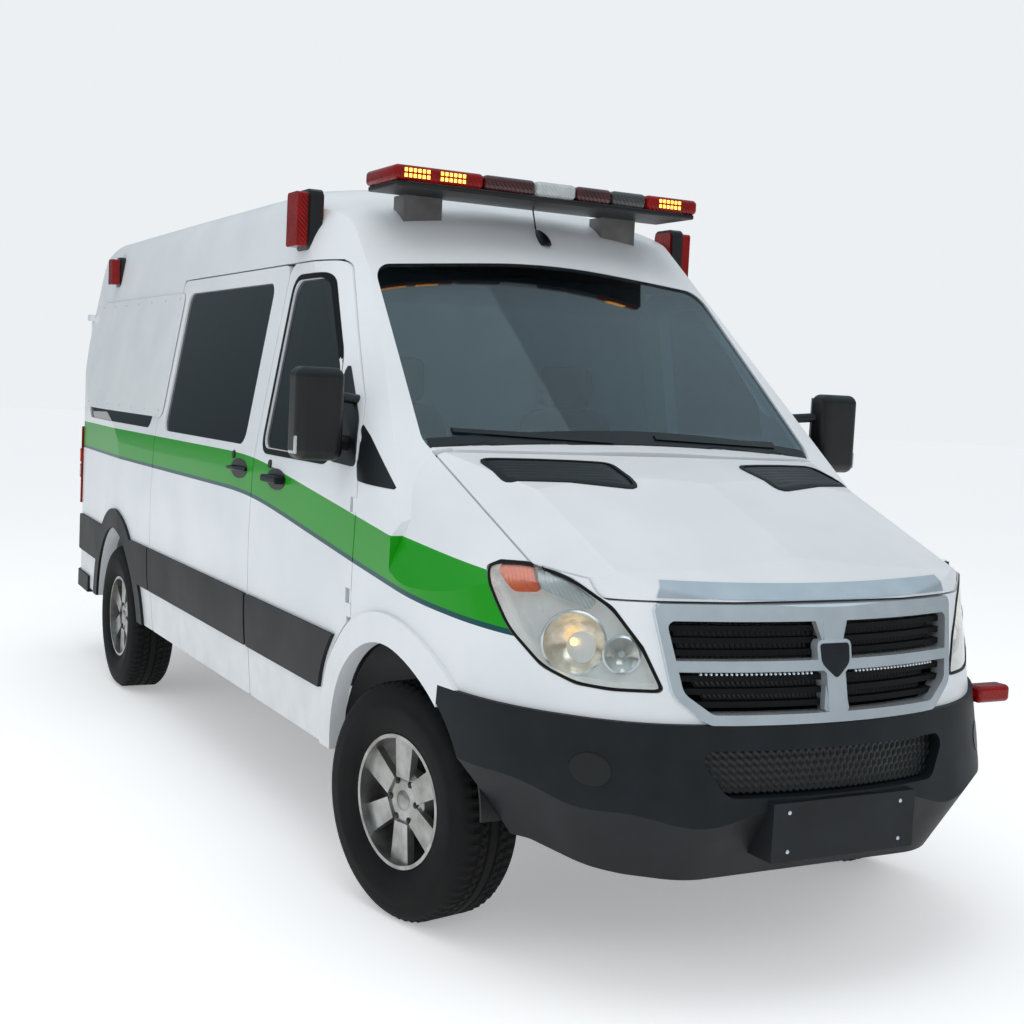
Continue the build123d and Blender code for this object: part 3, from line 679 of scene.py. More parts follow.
NODE_FINISH = {
    WHITE: ("sliding_door", "side_panel_right", "side_panel_left", "roof", "windshield_frame", "fender_left",
            "fender_right", "front_panel", "front_door_left", "front_door_right"),
    BARE_WHITE: ("hood", "rear_door_left", "rear_door_right"),
    CLEAR_GLASS: ("windshield",),
    DOOR_GLASS: ("front_door_glass_left", "front_door_glass_right"),
    PRIVACY: ("side_glass", "rear_door_glass_left", "rear_door_glass_right"),
    CLEAR_LENS: ("headlamps",),
    RED_LENS: ("tail_lamps", "warning_lamps", "light_bar"),
    CHARCOAL: (
        "front_bumper", "rear_bumper", "side_mouldings", "front_door_trim_left", "front_door_trim_right",
    ),
    BLACK: ("door_mirror_left", "door_mirror_right", "wipers", "wheel_liners", "steering_wheel"),
    SEAL: ("grille_slats",),
    CHROME: ("grille_surround",),
    FOOT: ("light_bar_base",),
    GREY: ("dashboard",),
    PALE: ("partition",),
    FLOOR_PAINT: ("floor",),
    CHASSIS: ("frame_rails", "rear_axle", "fuel_tank"),
    CAST: ("engine", "knuckle_left", "knuckle_right"),
    STEEL: ("exhaust",),
    TYRE: ("front_tyre_left", "front_tyre_right", "rear_tyre_left", "rear_tyre_right"),
    ALLOY: ("front_rim_left", "front_rim_right", "rear_rim_left", "rear_rim_right"),
    SEAT: ("seats",),
}


def paint_nodes() -> None:
    """Gives every node its finish."""
    for finish, names in NODE_FINISH.items():
        for name in names:
            node = frame["nodes"][name]
            node.data.materials.clear()
            node.data.materials.append(finish.material())


def triangles_of(nodes: Sequence[str]) -> Array:
    """The triangles of some solids, in the pieces' own frame.

    Args:
        nodes: names of nodes.

    Returns:
        Corner points of shape (n, 3, 3).
    """
    found = []
    for name in nodes:
        solid = frame["nodes"][name]
        mesh = solid.data
        mesh.calc_loop_triangles()
        points = np.empty(len(mesh.vertices) * 3)
        mesh.vertices.foreach_get("co", points)
        index = np.empty(len(mesh.loop_triangles) * 3, dtype=np.int32)
        mesh.loop_triangles.foreach_get("vertices", index)
        place = np.array(solid.matrix_world)
        points = points.reshape(-1, 3) @ place[:3, :3].T + place[:3, 3] - (FRONT_AXLE_X, 0, 0)
        found.append(points[index].reshape(-1, 3, 3))
    return np.concatenate(found)


def laid(points: Array, way: Point, nodes: Sequence[str], lift: float = 0.0) -> Array:
    """Points moved along one way onto solids.

    P + t * way meets a + u * e1 + v * e2, solved for all triangles at once.

    Args:
        points: points of shape (..., 3) near the surface.
        way: the direction to look in, from outside.
        nodes: the solids that carry the points.
        lift: how far the points then stand off, against the way.

    Returns:
        The moved points. A point that meets nothing takes the depth of the nearest one that does.
    """
    slack, parallel, nearest = 1e-6, 1e-14, 0.3
    way = unit(way)
    flat = np.asarray(points, dtype=float).reshape(-1, 3)
    start = flat - way
    first, second, third = np.moveaxis(triangles_of(nodes), 1, 0)
    e1, e2 = second - first, third - first
    across = np.cross(way, e2)
    scale = np.einsum("ij,ij->i", e1, across)
    keep = np.abs(scale) > parallel
    first, e1, e2, across, scale = first[keep], e1[keep], e2[keep], across[keep], scale[keep]
    turned, normal = np.cross(e1, way), np.cross(e1, e2)
    u, v, t = (
        (start @ side.T - np.einsum("ij,ij->i", first, side)) / scale for side in (across, turned, normal)
    )
    inside = (u > -slack) & (v > -slack) & (u + v < 1 + slack)
    t = np.where(inside & (t > nearest), t, np.inf).min(axis=1)
    met = np.isfinite(t)
    near = np.argmin(np.linalg.norm(flat[:, None] - flat[met][None], axis=2), axis=1)
    return (start + (np.where(met, t, t[met][near]) - lift)[:, None] * way).reshape(np.shape(points))


def rounded(corners: Sequence[Point], radius: float, count: int = 96) -> Array:
    """A closed outline with round corners.

    At each one, a parabola from one side to the next, then even spacing.

    Args:
        corners: corner points in two or three dimensions.
        radius: how far from the corner the curve starts.
        count: points around.

    Returns:
        The outline's points, evenly spaced along it.
    """
    line = np.asarray(corners, dtype=float)
    ends = []
    for other in (np.roll(line, 1, axis=0), np.roll(line, -1, axis=0)):
        step = other - line
        size = np.linalg.norm(step, axis=1, keepdims=True)
        ends.append(line + step * np.minimum(radius / size, 0.48))
    t = np.linspace(0, 1, 6)[None, :, None]
    before, after = ends[0][:, None], ends[1][:, None]
    curve = (
        (1 - t) ** 2 * before + 2 * t * (1 - t) * line[:, None] + t**2 * after
    ).reshape(-1, line.shape[1])
    curve = np.vstack([curve, curve[:1]])
    length = np.concatenate([[0], np.cumsum(np.linalg.norm(np.diff(curve, axis=0), axis=1))])
    at = np.linspace(0, length[-1], count, endpoint=False)
    return np.stack([np.interp(at, length, axis) for axis in curve.T], axis=1)


def inset(outline: Array, by: float) -> Array:
    """A plane outline moved inward along its normals.

    Args:
        outline: a closed outline in two dimensions.
        by: how far; less than zero moves it outward.

    Returns:
        The moved outline.
    """
    step = np.roll(outline, -1, axis=0) - np.roll(outline, 1, axis=0)
    normal = np.stack([-step[:, 1], step[:, 0]], axis=1) / np.linalg.norm(step, axis=1, keepdims=True)
    area = np.sum(outline[:, 0] * np.roll(outline[:, 1], -1) - outline[:, 1] * np.roll(outline[:, 0], -1))
    return outline + np.sign(area) * by * normal


def sheet_between(face: Array, back: Array) -> Array:
    """A closed skin: the face from its middle to its rim, then the back from the rim to its middle.

    Args:
        face: rings from the rim to the middle.
        back: the same rings further in.

    Returns:
        A grid to be joined around.
    """
    return np.concatenate([face[::-1], back])


def wrapped(face: Array, back: Array) -> Array:
    """A closed skin of two like grids: the face's rows, then the back's in reverse.

    Args:
        face: the outer grid.
        back: the inner grid, whose end columns are pinched to the face's.

    Returns:
        A grid to be joined along.
    """
    pinched = back.copy()
    pinched[:, (0, -1)] = face[:, (0, -1)]
    return np.concatenate([face, pinched[::-1]])


def band(inner: Array, outer: Array, way: Point, height: float) -> Array:
    """A closed strip between two lines, with a section of four corners raised and sunk at both edges.

    Args:
        inner: the inner line.
        outer: the outer line.
        way: the direction into the surface.
        height: how far the inner edge stands off.

    Returns:
        A grid of shape (n, 4, 3), to be joined around and along.
    """
    lift = -np.asarray(way) * height
    return np.stack([outer - 0.4 * lift, outer + 0.7 * lift, inner + lift, inner - 0.4 * lift], axis=1)


def oblong(across: Point, up: Point) -> list[tuple[float, float]]:
    """The corners of an upright oblong, in turn.

    Args:
        across: its two edges across.
        up: its lower and upper edge.

    Returns:
        Four corners.
    """
    return [(across[0], up[0]), (across[1], up[0]), (across[1], up[1]), (across[0], up[1])]


def plated(rings: Array, way: Point, nodes: Sequence[str], lifts: Point) -> Array:
    """A thin closed plate laid on solids.

    Args:
        rings: its points from the rim to the middle, near the surface.
        way: the direction to look in, from outside.
        nodes: the solids that carry it.
        lifts: how far its face and its back stand off.

    Returns:
        A grid to be joined around.
    """
    return sheet_between(*(laid(rings, way, nodes, lift) for lift in lifts))


def mounted(stack: Stack, name: str, finish: Finish, body: str, smooth: bool = True) -> Piece:
    """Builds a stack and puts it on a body.

    Args:
        stack: the surfaces.
        name: the piece's name.
        finish: its finish.
        body: the body that it rides.
        smooth: shades it smooth up to sharp edges.

    Returns:
        The piece.
    """
    piece = stack.build(name, finish.material(), smooth)
    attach(piece, str(getattr(body, "value", body)))
    return piece


def fitted(
    surface: Array, name: str, finish: Finish, body: str, around: bool = True,
    along: bool = False, smooth: bool = True,
) -> Piece:
    """Builds one surface and puts it on a body.

    Args:
        surface: a grid of points.
        name: the piece's name.
        finish: its finish.
        body: the body that it rides.
        around: joins the last column to the first.
        along: joins the last row to the first.
        smooth: shades it smooth up to sharp edges.

    Returns:
        The piece.
    """
    return mounted(Stack().grid(surface, around, along), name, finish, body, smooth)


@dataclass
class Wheel:
    """A road wheel: a treaded tyre in place of the plain one, wheel bolts and a hub cap."""

    place: str
    side: Side
    radius: float = 0.372
    tread_half: float = 0.082
    bead: float = 0.2102
    bead_half: float = 0.090
    # The side wall from the bead up, as (radius, height along the axle).
    wall: Outline = (
        (0.216, 0.0965), (0.226, 0.099), (0.231, 0.1035), (0.252, 0.110), (0.276, 0.1145), (0.291, 0.1165),
        (0.305, 0.1155), (0.309, 0.1140), (0.330, 0.111), (0.349, 0.106), (0.361, 0.0955), (0.3695, 0.0840),
    )
    depth: float = 0.008
    blocks: int = 68
    grooves: tuple[float, float] = (0.018, 0.050)
    groove_half: float = 0.0035
    slant: float = 16.0
    gap: float = 0.26
    bolts: int = 6
    bolt_circle: float = 0.065
    # Turned profiles, as (radius, height along the axle).
    nut: Outline = ((0, 0.0735), (0.006, 0.0735), (0.0105, 0.071), (0.0105, 0.050), (0, 0.050))
    cap: Outline = (
        (0, 0.0765), (0.014, 0.076), (0.026, 0.0735), (0.0315, 0.069), (0.033, 0.060), (0, 0.060),
    )

    @property
    def name(self) -> str:
        """The name of the wheel and of its body."""
        return f"{self.place}_wheel_{self.side.word}"

    def tyre(self, origin: Array, axis: Array) -> None:
        """The tyre.

        A side wall curve and a level tread, turned about the axle, with grooves cut by height and angle.

        Args:
            origin: the wheel's middle.
            axis: the axle, outward.
        """
        wall = np.array([(self.bead, self.bead_half), *self.wall])
        across = np.linspace(self.tread_half - 0.001, 0.001 - self.tread_half, 41)
        r = np.concatenate([wall[:, 0], np.full(41, self.radius), wall[::-1, 0]])
        h = np.concatenate([wall[:, 1], across, -wall[::-1, 1]])
        angle = np.linspace(0, 2 * np.pi, 4 * self.blocks, endpoint=False)
        a, height = np.meshgrid(angle, h)
        level = np.abs(height)
        inner, outer = (np.abs(level - place) < self.groove_half for place in self.grooves)
        slant = np.where(level > self.grooves[1], 0.0, np.sign(height) * level * self.slant)
        cross = ((a * self.blocks / (2 * np.pi) + slant) % 1 < self.gap) & (level > 0.02) & (level < 0.09)
        cut = np.maximum(inner | outer, 0.8 * cross) * self.depth * (r[:, None] > self.radius - 0.004)
        side = unit(np.cross(axis, (0, 0, 1)))
        other = np.cross(axis, side)
        spoke = np.cos(a)[..., None] * side + np.sin(a)[..., None] * other
        surface = origin + height[..., None] * axis + (r[:, None] - cut)[..., None] * spoke
        node = f"{self.place}_tyre_{self.side.word}"
        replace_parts(fitted(surface, f"treaded_{node}", TYRE, self.name, along=True), node)

    def build(self) -> None:
        """Makes the tyre, the bolts and the cap."""
        joint = JOINTS[f"{self.name}_spin"]
        origin = np.array(joint["pos_m"]) - (FRONT_AXLE_X, 0, 0)
        axis = unit(joint["axis"]) * self.side.value
        self.tyre(origin, axis)
        ahead = unit(np.cross(axis, (0, 0, 1)))
        bolts = Stack()
        for k in range(self.bolts):
            turn = math.radians(360 / self.bolts * k)
            spoke = math.cos(turn) * ahead + math.sin(turn) * np.array((0, 0, 1))
            foot = origin + self.bolt_circle * spoke
            bolts.grid(lathe(self.nut, foot, axis, 6), around=True)
        end = f"{self.place}_{self.side.word}"
        mounted(bolts, f"wheel_bolts_{end}", DARK_METAL, self.name, False)
        fitted(lathe(self.cap, origin, axis, 36), f"hub_cap_{end}", ALLOY, self.name)


@dataclass
class Headlamp:
    """A headlamp: clear lens, housing with painted glow, two bowls, amber indicator, ribbed strip and a
    rubber seal.
    """

    side: Side
    turn: float = 40.0
    origin: tuple[float, float] = (0.700, -0.750)
    main: tuple[float, float] = (4, 972)
    second: tuple[float, float] = (140, 950)
    main_bowl: tuple[float, float] = (0.086, 0.026)
    second_bowl: tuple[float, float] = (0.048, 0.020)
    outline_mm: Outline = (
        (-280, 1158), (-240, 1177), (-140, 1180), (-5, 1150), (110, 1082), (200, 978), (268, 856),
        (120, 855), (20, 864), (-80, 902), (-187, 995), (-240, 1080),
    )
    amber_mm: Outline = ((-240, 1152), (-232, 1164), (-139, 1166), (-99, 1105), (-178, 1098))
    strip_mm: Outline = ((-126, 1164), (-20, 1138), (62, 1090), (44, 1066), (-50, 1098), (-92, 1110))

    @property
    def normal(self) -> Array:
        """The way the lamp faces: a level direction of length one."""
        angle = math.radians(self.turn)
        return np.array((math.cos(angle), self.side.value * math.sin(angle), 0))

    def spread(self, plane_mm: Array) -> Array:
        """Points of the lamp's own plane, in the vehicle's frame.

        Args:
            plane_mm: (along, height) pairs in millimetres.

        Returns:
            Points of shape (..., 3).
        """
        angle = math.radians(self.turn)
        along = np.array((math.sin(angle), -self.side.value * math.cos(angle), 0))
        base = np.array((self.origin[0], -self.side.value * self.origin[1], 0))
        plane = np.asarray(plane_mm, dtype=float) * MM
        return base + plane[..., :1] * along + plane[..., 1:] * np.array((0, 0, 1))

    def on_lens(self, plane_mm: Array, depth: float) -> Array:
        """Points on the lamp's face or at a depth behind it, from (along, height) in millimetres."""
        return laid(self.spread(plane_mm), -self.normal, ["headlamps"], -depth)

    def block(self, corners: Sequence[Point], front: float, rear: float) -> Stack:
        """A slab behind the lens between two depths, from its outline in millimetres."""
        ring = filled(rounded(corners, 14, 48), 6)
        return Stack().grid(sheet_between(self.on_lens(ring, front), self.on_lens(ring, rear)), around=True)

    def bowl(self, centre: Point, radius: float, depth: float) -> tuple[Array, Array, Array]:
        """A parabolic bowl that faces ahead, and its bulb.

        Args:
            centre: its place in the lamp's plane, in millimetres.
            radius: the rim's radius.
            depth: how far the rim's middle is behind the lens.

        Returns:
            The bowl, the bulb and the rim, as grids to be joined around.
        """
        middle = self.on_lens(np.array([centre]), depth)[0]
        axis = unit(self.normal + (0.35, 0, 0))
        share = np.linspace(0, 1, 9)
        inner = [(s * radius, (s * s - 1) * 0.45 * radius) for s in share]
        outer = [(s * (radius + 0.002), (s * s - 1) * 0.45 * radius - 0.002) for s in share[::-1]]
        bulb = [(0, 0.016), (0.008, 0.013), (0.011, 0.006), (0.011, -0.004), (0.007, -0.012), (0, -0.012)]
        rim = [
            (radius, 0.003), (radius + 0.006, 0.001), (radius + 0.007, -0.006), (radius, -0.004),
            (radius, 0.003),
        ]
        foot = middle - 0.22 * radius * axis
        return lathe(inner + outer, middle, axis), lathe(bulb, foot, axis, 24), lathe(rim, middle, axis)

    def build(self) -> None:
        """Makes the lamp's parts; the lens stands for the plain solid."""
        word, body = self.side.word, Body.SHELL
        outline = rounded(self.outline_mm, 34, 144)
        ring = filled(inset(outline, 3.0), 12)
        lens = Stack().grid(sheet_between(self.on_lens(ring, 0.0), self.on_lens(ring, 0.003)), around=True)
        housing_depth = np.concatenate([[0.006, 0.012, 0.034], np.full(9, 0.058)])
        share = np.concatenate([[1.0, 0.985, 0.95], np.linspace(0.93, 0, 9)])
        middle = outline.mean(axis=0)
        rings = middle + share[:, None, None] * (inset(outline, 4.0) - middle)
        front = self.on_lens(rings, 0.0) - self.normal * housing_depth[:, None, None]
        housing = Stack().grid(sheet_between(front, front - 0.003 * self.normal), around=True)
        # The housing's finish has a painted glow, standing in for light let in by the lens.
        piece = mounted(housing, f"headlamp_housing_{word}", BEZEL_PAINTED_GLOW, body)
        if self.side is Side.RIGHT:
            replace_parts(piece, "headlamps")
        mounted(lens, f"headlamp_lens_{word}", CLEAR_LENS, body)
        rims = Stack()
        # The main bowl's finish has a painted glow for the reflected light of its bulb, which is the lit
        # lamp.
        lit, dark = ("main", BOWL_PAINTED_GLOW, WARM_LIGHT), ("second", REFLECTOR, WHITE_LENS)
        for (name, cup, glass), centre, radius, depth in (
            (lit, self.main, *self.main_bowl), (dark, self.second, *self.second_bowl),
        ):
            bowl, bulb, rim = self.bowl(centre, radius, depth)
            fitted(bowl, f"headlamp_{name}_bowl_{word}", cup, body)
            fitted(bulb, f"headlamp_{name}_bulb_{word}", glass, body)
            rims.grid(rim, around=True)
        mounted(rims, f"headlamp_rims_{word}", CHROME, body)
        mounted(self.block(self.amber_mm, 0.009, 0.040), f"indicator_{word}", AMBER_LENS, body)
        mounted(self.block(self.strip_mm, 0.010, 0.030), f"side_light_{word}", WHITE_LENS, body)
        edge, inner = inset(outline, 0.5), inset(outline, 9.0)
        seal = band(self.on_lens(inner, 0.0), self.on_lens(edge, 0.0), -self.normal, 0.003)
        fitted(seal, f"headlamp_seal_{word}", SEAL, body, along=True)


@dataclass
class Grille:
    """The grille's dressing: a ribbed dark screen, a blank shield on two blades and a beaded edge."""

    x: float = 0.910
    z: float = 0.940
    lean: float = 0.207
    bow: float = 0.342
    screen_half: float = 0.47
    screen_z: tuple[float, float] = (0.812, 1.046)
    ribs: int = 56
    beads: int = 58

    def nose(self, y: Array, z: Array, proud: float = 0.0) -> Array:
        """Points on the nose or ahead of it: x falls with the square of y and straight with z."""
        x = self.x + proud - self.lean * (z - self.z) - self.bow * y**2
        return np.stack([x, y, z], axis=-1)

    def plate(self, corners: Sequence[Point], radius: float, proud: float, thick: float) -> Stack:
        """A plate on the nose, a little domed.

        Args:
            corners: its outline as (y, z).
            radius: its corner radius.
            proud: how far its rim stands ahead of the nose.
            thick: its thickness.

        Returns:
            The plate's surface.
        """
        ring = filled(rounded(corners, radius, 64), 8)
        dome = np.linspace(0, 1, 8)[:, None]
        rise = proud + 0.003 * np.sin(0.5 * np.pi * dome) * np.ones(ring.shape[:2])
        face = self.nose(ring[..., 0], ring[..., 1]) + rise[..., None] * np.array((1, 0, 0))
        back = self.nose(ring[..., 0], ring[..., 1], proud - thick)
        return Stack().grid(sheet_between(face, back), around=True)

    def build(self) -> None:
        """Makes the screen, the blades, the shield and the beads."""
        y, z = np.meshgrid(np.linspace(-1, 1, 4 * self.ribs + 1), np.linspace(0, 1, 14))
        height = self.screen_z[0] + z * (self.screen_z[1] - self.screen_z[0])
        wide = self.screen_half - 0.09 * (1 - z) ** 2
        wave = 0.004 * (np.arange(4 * self.ribs + 1) % 4 < 2)
        front = self.nose(y * wide, height, -0.040) + wave[None, :, None] * np.array((1, 0, 0))
        back = self.nose(y * wide, height, -0.045)
        fitted(
            wrapped(front, back), "grille_screen", BLACK, Body.SHELL, smooth=False,
            around=False, along=True,
        )
        upper = ((-0.060, 1.058), (0.060, 1.058), (0.034, 0.985), (-0.034, 0.985))
        lower = ((-0.030, 0.900), (0.030, 0.900), (0.046, 0.800), (-0.046, 0.800))
        shield = ((-0.062, 1.000), (0.062, 1.000), (0.060, 0.930), (0.0, 0.878), (-0.060, 0.930))
        face = inset(rounded(shield, 0.022, 64), 0.010)
        # The sizes are corner radius, stand-off and thickness.
        for name, corners, sizes, finish, slot in (
            ("blade_upper", upper, (0.012, 0.008, 0.02), CHROME, "bright_trim"),
            ("blade_lower", lower, (0.012, 0.006, 0.02), SATIN, "bright_trim"),
            ("shield", shield, (0.022, 0.014, 0.03), CHROME, "bright_trim"),
            ("shield_face", face, (0.001, 0.017, 0.01), CHARCOAL, "charcoal_plastic"),
        ):
            mounted(self.plate(corners, *sizes), f"grille_{name}", finish, Body.SHELL)
        beads = Stack()
        ball = [(0, 0.0045), (0.0032, 0.0032), (0.0045, 0), (0.0032, -0.0032), (0, -0.0045)]
        for at in np.linspace(-0.42, 0.42, self.beads):
            if abs(at) > 0.07:
                foot = self.nose(np.array(at), np.array(0.908), 0.004)
                beads.grid(lathe(ball, foot, (1, 0, 0), 8), around=True)
        mounted(beads, "grille_beads", CHROME, Body.SHELL)


@dataclass
class HoodLip:
    """The satin silver band on the hood's front lip."""

    half: tuple[float, float] = (0.528, 0.508)
    start: tuple[float, float] = (0.872, 1.110)
    rise: tuple[float, float] = (-0.052, 0.042)
    way: tuple[float, float, float] = (-0.97, 0, -0.24)
    thick: float = 0.003

    def build(self) -> None:
        """Lays a strip on the hood: rows across, set back with the square of y, from the lip upward."""
        across, up = np.meshgrid(np.linspace(-1, 1, 81), np.linspace(0, 1, 9))
        y = across * (self.half[0] + up * (self.half[1] - self.half[0]))
        x = self.start[0] - Grille.bow * y**2 + self.rise[0] * up
        flat = np.stack([x, y, self.start[1] + self.rise[1] * up], axis=-1)
        face, back = (laid(flat, self.way, ["hood"], lift) for lift in (self.thick, -0.0005))
        fitted(
            wrapped(face, back), "hood_lip_band", SATIN, Body.HOOD, around=False,
            along=True,
        )


@dataclass
class HoodVent:
    """A slatted air vent let into the hood."""

    side: Side
    corners: Outline = ((-0.050, 0.668), (0.140, 0.664), (0.266, 0.282), (0.066, 0.264))
    slats: int = 7
    rise: float = 0.005
    above: float = 1.4

    def build(self) -> None:
        """Lays a corrugated plate on the hood: lines between the corners, raised in a wave, with a frame."""
        down = (0, 0, -1)
        quad = np.array([(x, y * self.side.value, self.above) for x, y in self.corners])
        along, across = np.meshgrid(np.linspace(0, 1, 33), np.linspace(0, 1, 8 * self.slats + 1))
        a, b = along[..., None], across[..., None]
        flat = (1 - b) * ((1 - a) * quad[0] + a * quad[3]) + b * ((1 - a) * quad[1] + a * quad[2])
        low = laid(flat, down, ["hood"], -0.003)
        rim = np.minimum(np.minimum(along, 1 - along) * 12, np.minimum(across, 1 - across) * 14).clip(0, 1)
        wave = 0.35 + 0.65 * np.abs(np.sin(np.pi * self.slats * across)) ** 0.6
        top = low + (0.003 + self.rise * wave * rim)[..., None] * np.array((0, 0, 1))
        stack = Stack().grid(wrapped(top, low), along=True)
        mounted(stack, f"hood_vent_{self.side.word}", BLACK, Body.HOOD)
        edge = rounded(quad[:, :2], 0.03, 96)
        line, outer = (
            laid(np.insert(inset(edge, by), 2, self.above, axis=-1), down, ["hood"]) for by in (0.0, -0.014)
        )
        ring = band(line, outer, down, 0.006)
        name = f"hood_vent_frame_{self.side.word}"
        fitted(ring, name, CHARCOAL, Body.HOOD, along=True)


@dataclass
class LightBar:
    """The roof light bar: a row of lens modules in place of the plain block, on a black tray."""

    x: tuple[float, float] = (-1.150, -0.860)
    z: tuple[float, float] = (2.405, 2.462)
    edges: tuple[float, ...] = (-0.665, -0.300, -0.080, 0.100, 0.260, 0.420, 0.665)
    clusters: tuple[float, ...] = (-0.575, -0.430, 0.530)
    cell_half: tuple[float, float, float] = (0.002, 0.0062, 0.0068)
    tray_z: float = 2.3955
    tray_half: tuple[float, float, float] = (0.138, 0.653, 0.0095)
    cap_y: float = 0.6555
    cap_half: tuple[float, float, float] = (0.100, 0.011, 0.0255)

    def module(self, low: float, high: float) -> Array:
        """One lens: a box with round edges.

        Args:
            low: its right edge.
            high: its left edge.

        Returns:
            The lens as a grid to be joined around.
        """
        centre = (sum(self.x) / 2, (low + high) / 2, sum(self.z) / 2)
        half = ((self.x[1] - self.x[0]) / 2, (high - low) / 2 - 0.001, (self.z[1] - self.z[0]) / 2)
        return rounded_box(centre, half, 0.018)

    def build(self) -> None:
        """Makes the modules, the lit clusters, the tray and the left end's cap."""
        finishes = (RED_LENS, DARK_RED, WHITE_LENS, DARK_RED, SMOKE_LENS, RED_LENS)
        for index, finish in enumerate(finishes):
            lens = self.module(*self.edges[index : index + 2])
            piece = fitted(lens, f"light_bar_lens_{index + 1}", finish, Body.SHELL)
            if index == 0:
                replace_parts(piece, "light_bar")
        lit = Stack()
        front, level = self.x[1] - 0.0005, sum(self.z) / 2
        for middle in self.clusters:
            for column in np.linspace(-0.045, 0.045, 6):
                for row in (-0.010, 0.010):
                    centre = (front, middle + column, level + row)
                    lit.grid(rounded_box(centre, self.cell_half, 0.0018, None, 3), True)
        mounted(lit, "light_bar_clusters", AMBER_LIGHT, Body.SHELL)
        tray = rounded_box((sum(self.x) / 2, 0, self.tray_z), self.tray_half, 0.006)
        fitted(tray, "light_bar_tray", BLACK, Body.SHELL)
        centre = (sum(self.x) / 2, self.cap_y, level - 0.002)
        cap = rounded_box(centre, self.cap_half, 0.009)
        fitted(cap, "light_bar_end_cap", BLACK, Body.SHELL)


@dataclass
class RoofLampBezels:
    """Dark frames between the roof's sides and the four red warning lamps."""

    # Middle x, half length, lower and upper edge.
    lamps: tuple[tuple[float, float, float, float], ...] = (
        (-1.300, 0.060, 2.170, 2.375), (-4.350, 0.045, 2.150, 2.290),
    )
    rim: float = 0.013
    face: float = 0.848

    def build(self) -> None:
        """Makes one frame a lamp: a band whose section is square, round the lamp's outline."""
        stack = Stack()
        for x, half, low, high in self.lamps:
            inner = rounded(oblong((x - half, x + half), (low, high)), 0.014, 64)
            outer = inset(inner, -self.rim)
            for side in Side:
                y = side.value * self.face
                inside, outside = (np.insert(line, 1, y, axis=-1) for line in (inner, outer))
                back = np.array((0, -side.value * 0.05, 0))
                ring = np.stack([outside + back, outside, inside + 0.1 * -back, inside + back], axis=1)
                stack.grid(ring, around=True, along=True)
        mounted(stack, "warning_lamp_frames", BLACK, Body.SHELL)


@dataclass
class Handle:
    """A pull handle: an oval dish, a bar over it and a round lock cover."""

    name: str
    node: str
    body: str
    side: Side
    x: float
    z: float
    bar: bool = True
    dish: tuple[float, float] = (0.105, 0.040)
    lock: tuple[float, float] = (0.082, 0.052)
    lock_radius: float = 0.016
    grip_half: float = 0.088
    grip_rise: float = 0.030
    grip_radius: float = 0.013

    def on_side(self, flat: Array, lift: float) -> Array:
        """Points laid on the panel from the side.

        Args:
            flat: (x, z) pairs.
            lift: how far they stand off.

        Returns:
            Points of shape (..., 3).
        """
        return laid(
            np.insert(flat, 1, self.side.value, axis=-1), (0, -self.side.value, 0), [self.node], lift,
        )

    def build(self) -> None:
        """Makes the dish and lock cover, and the bar where the solids have none."""
        turn = np.linspace(0, 2 * np.pi, 64, endpoint=False)
        oval = np.stack([self.x + self.dish[0] * np.cos(turn), self.z + self.dish[1] * np.sin(turn)], axis=1)
        middle = (self.x - self.lock[0], self.z + self.lock[1])
        disc = np.stack([at + self.lock_radius * f(turn) for at, f in zip(middle, (np.cos, np.sin))], axis=1)
        stack = Stack()
        for ring, lift in ((filled(oval, 6), 0.0016), (filled(disc, 4), 0.005)):
            stack.grid(sheet_between(self.on_side(ring, lift), self.on_side(ring, -0.001)), around=True)
        if self.bar:
            along = np.linspace(-1, 1, 25)
            flat = np.stack([self.x + self.grip_half * along, np.full(25, self.z)], axis=1)
            rise = np.outer(self.grip_rise * (1 - along**4), (0, self.side.value, 0))
            section = circle(self.grip_radius, 12, 0.6)
            stack.grid(carried(self.on_side(flat, 0.0) + rise, section, (0, 0, 1)), around=True)
        mounted(stack, self.name, BLACK, self.body)


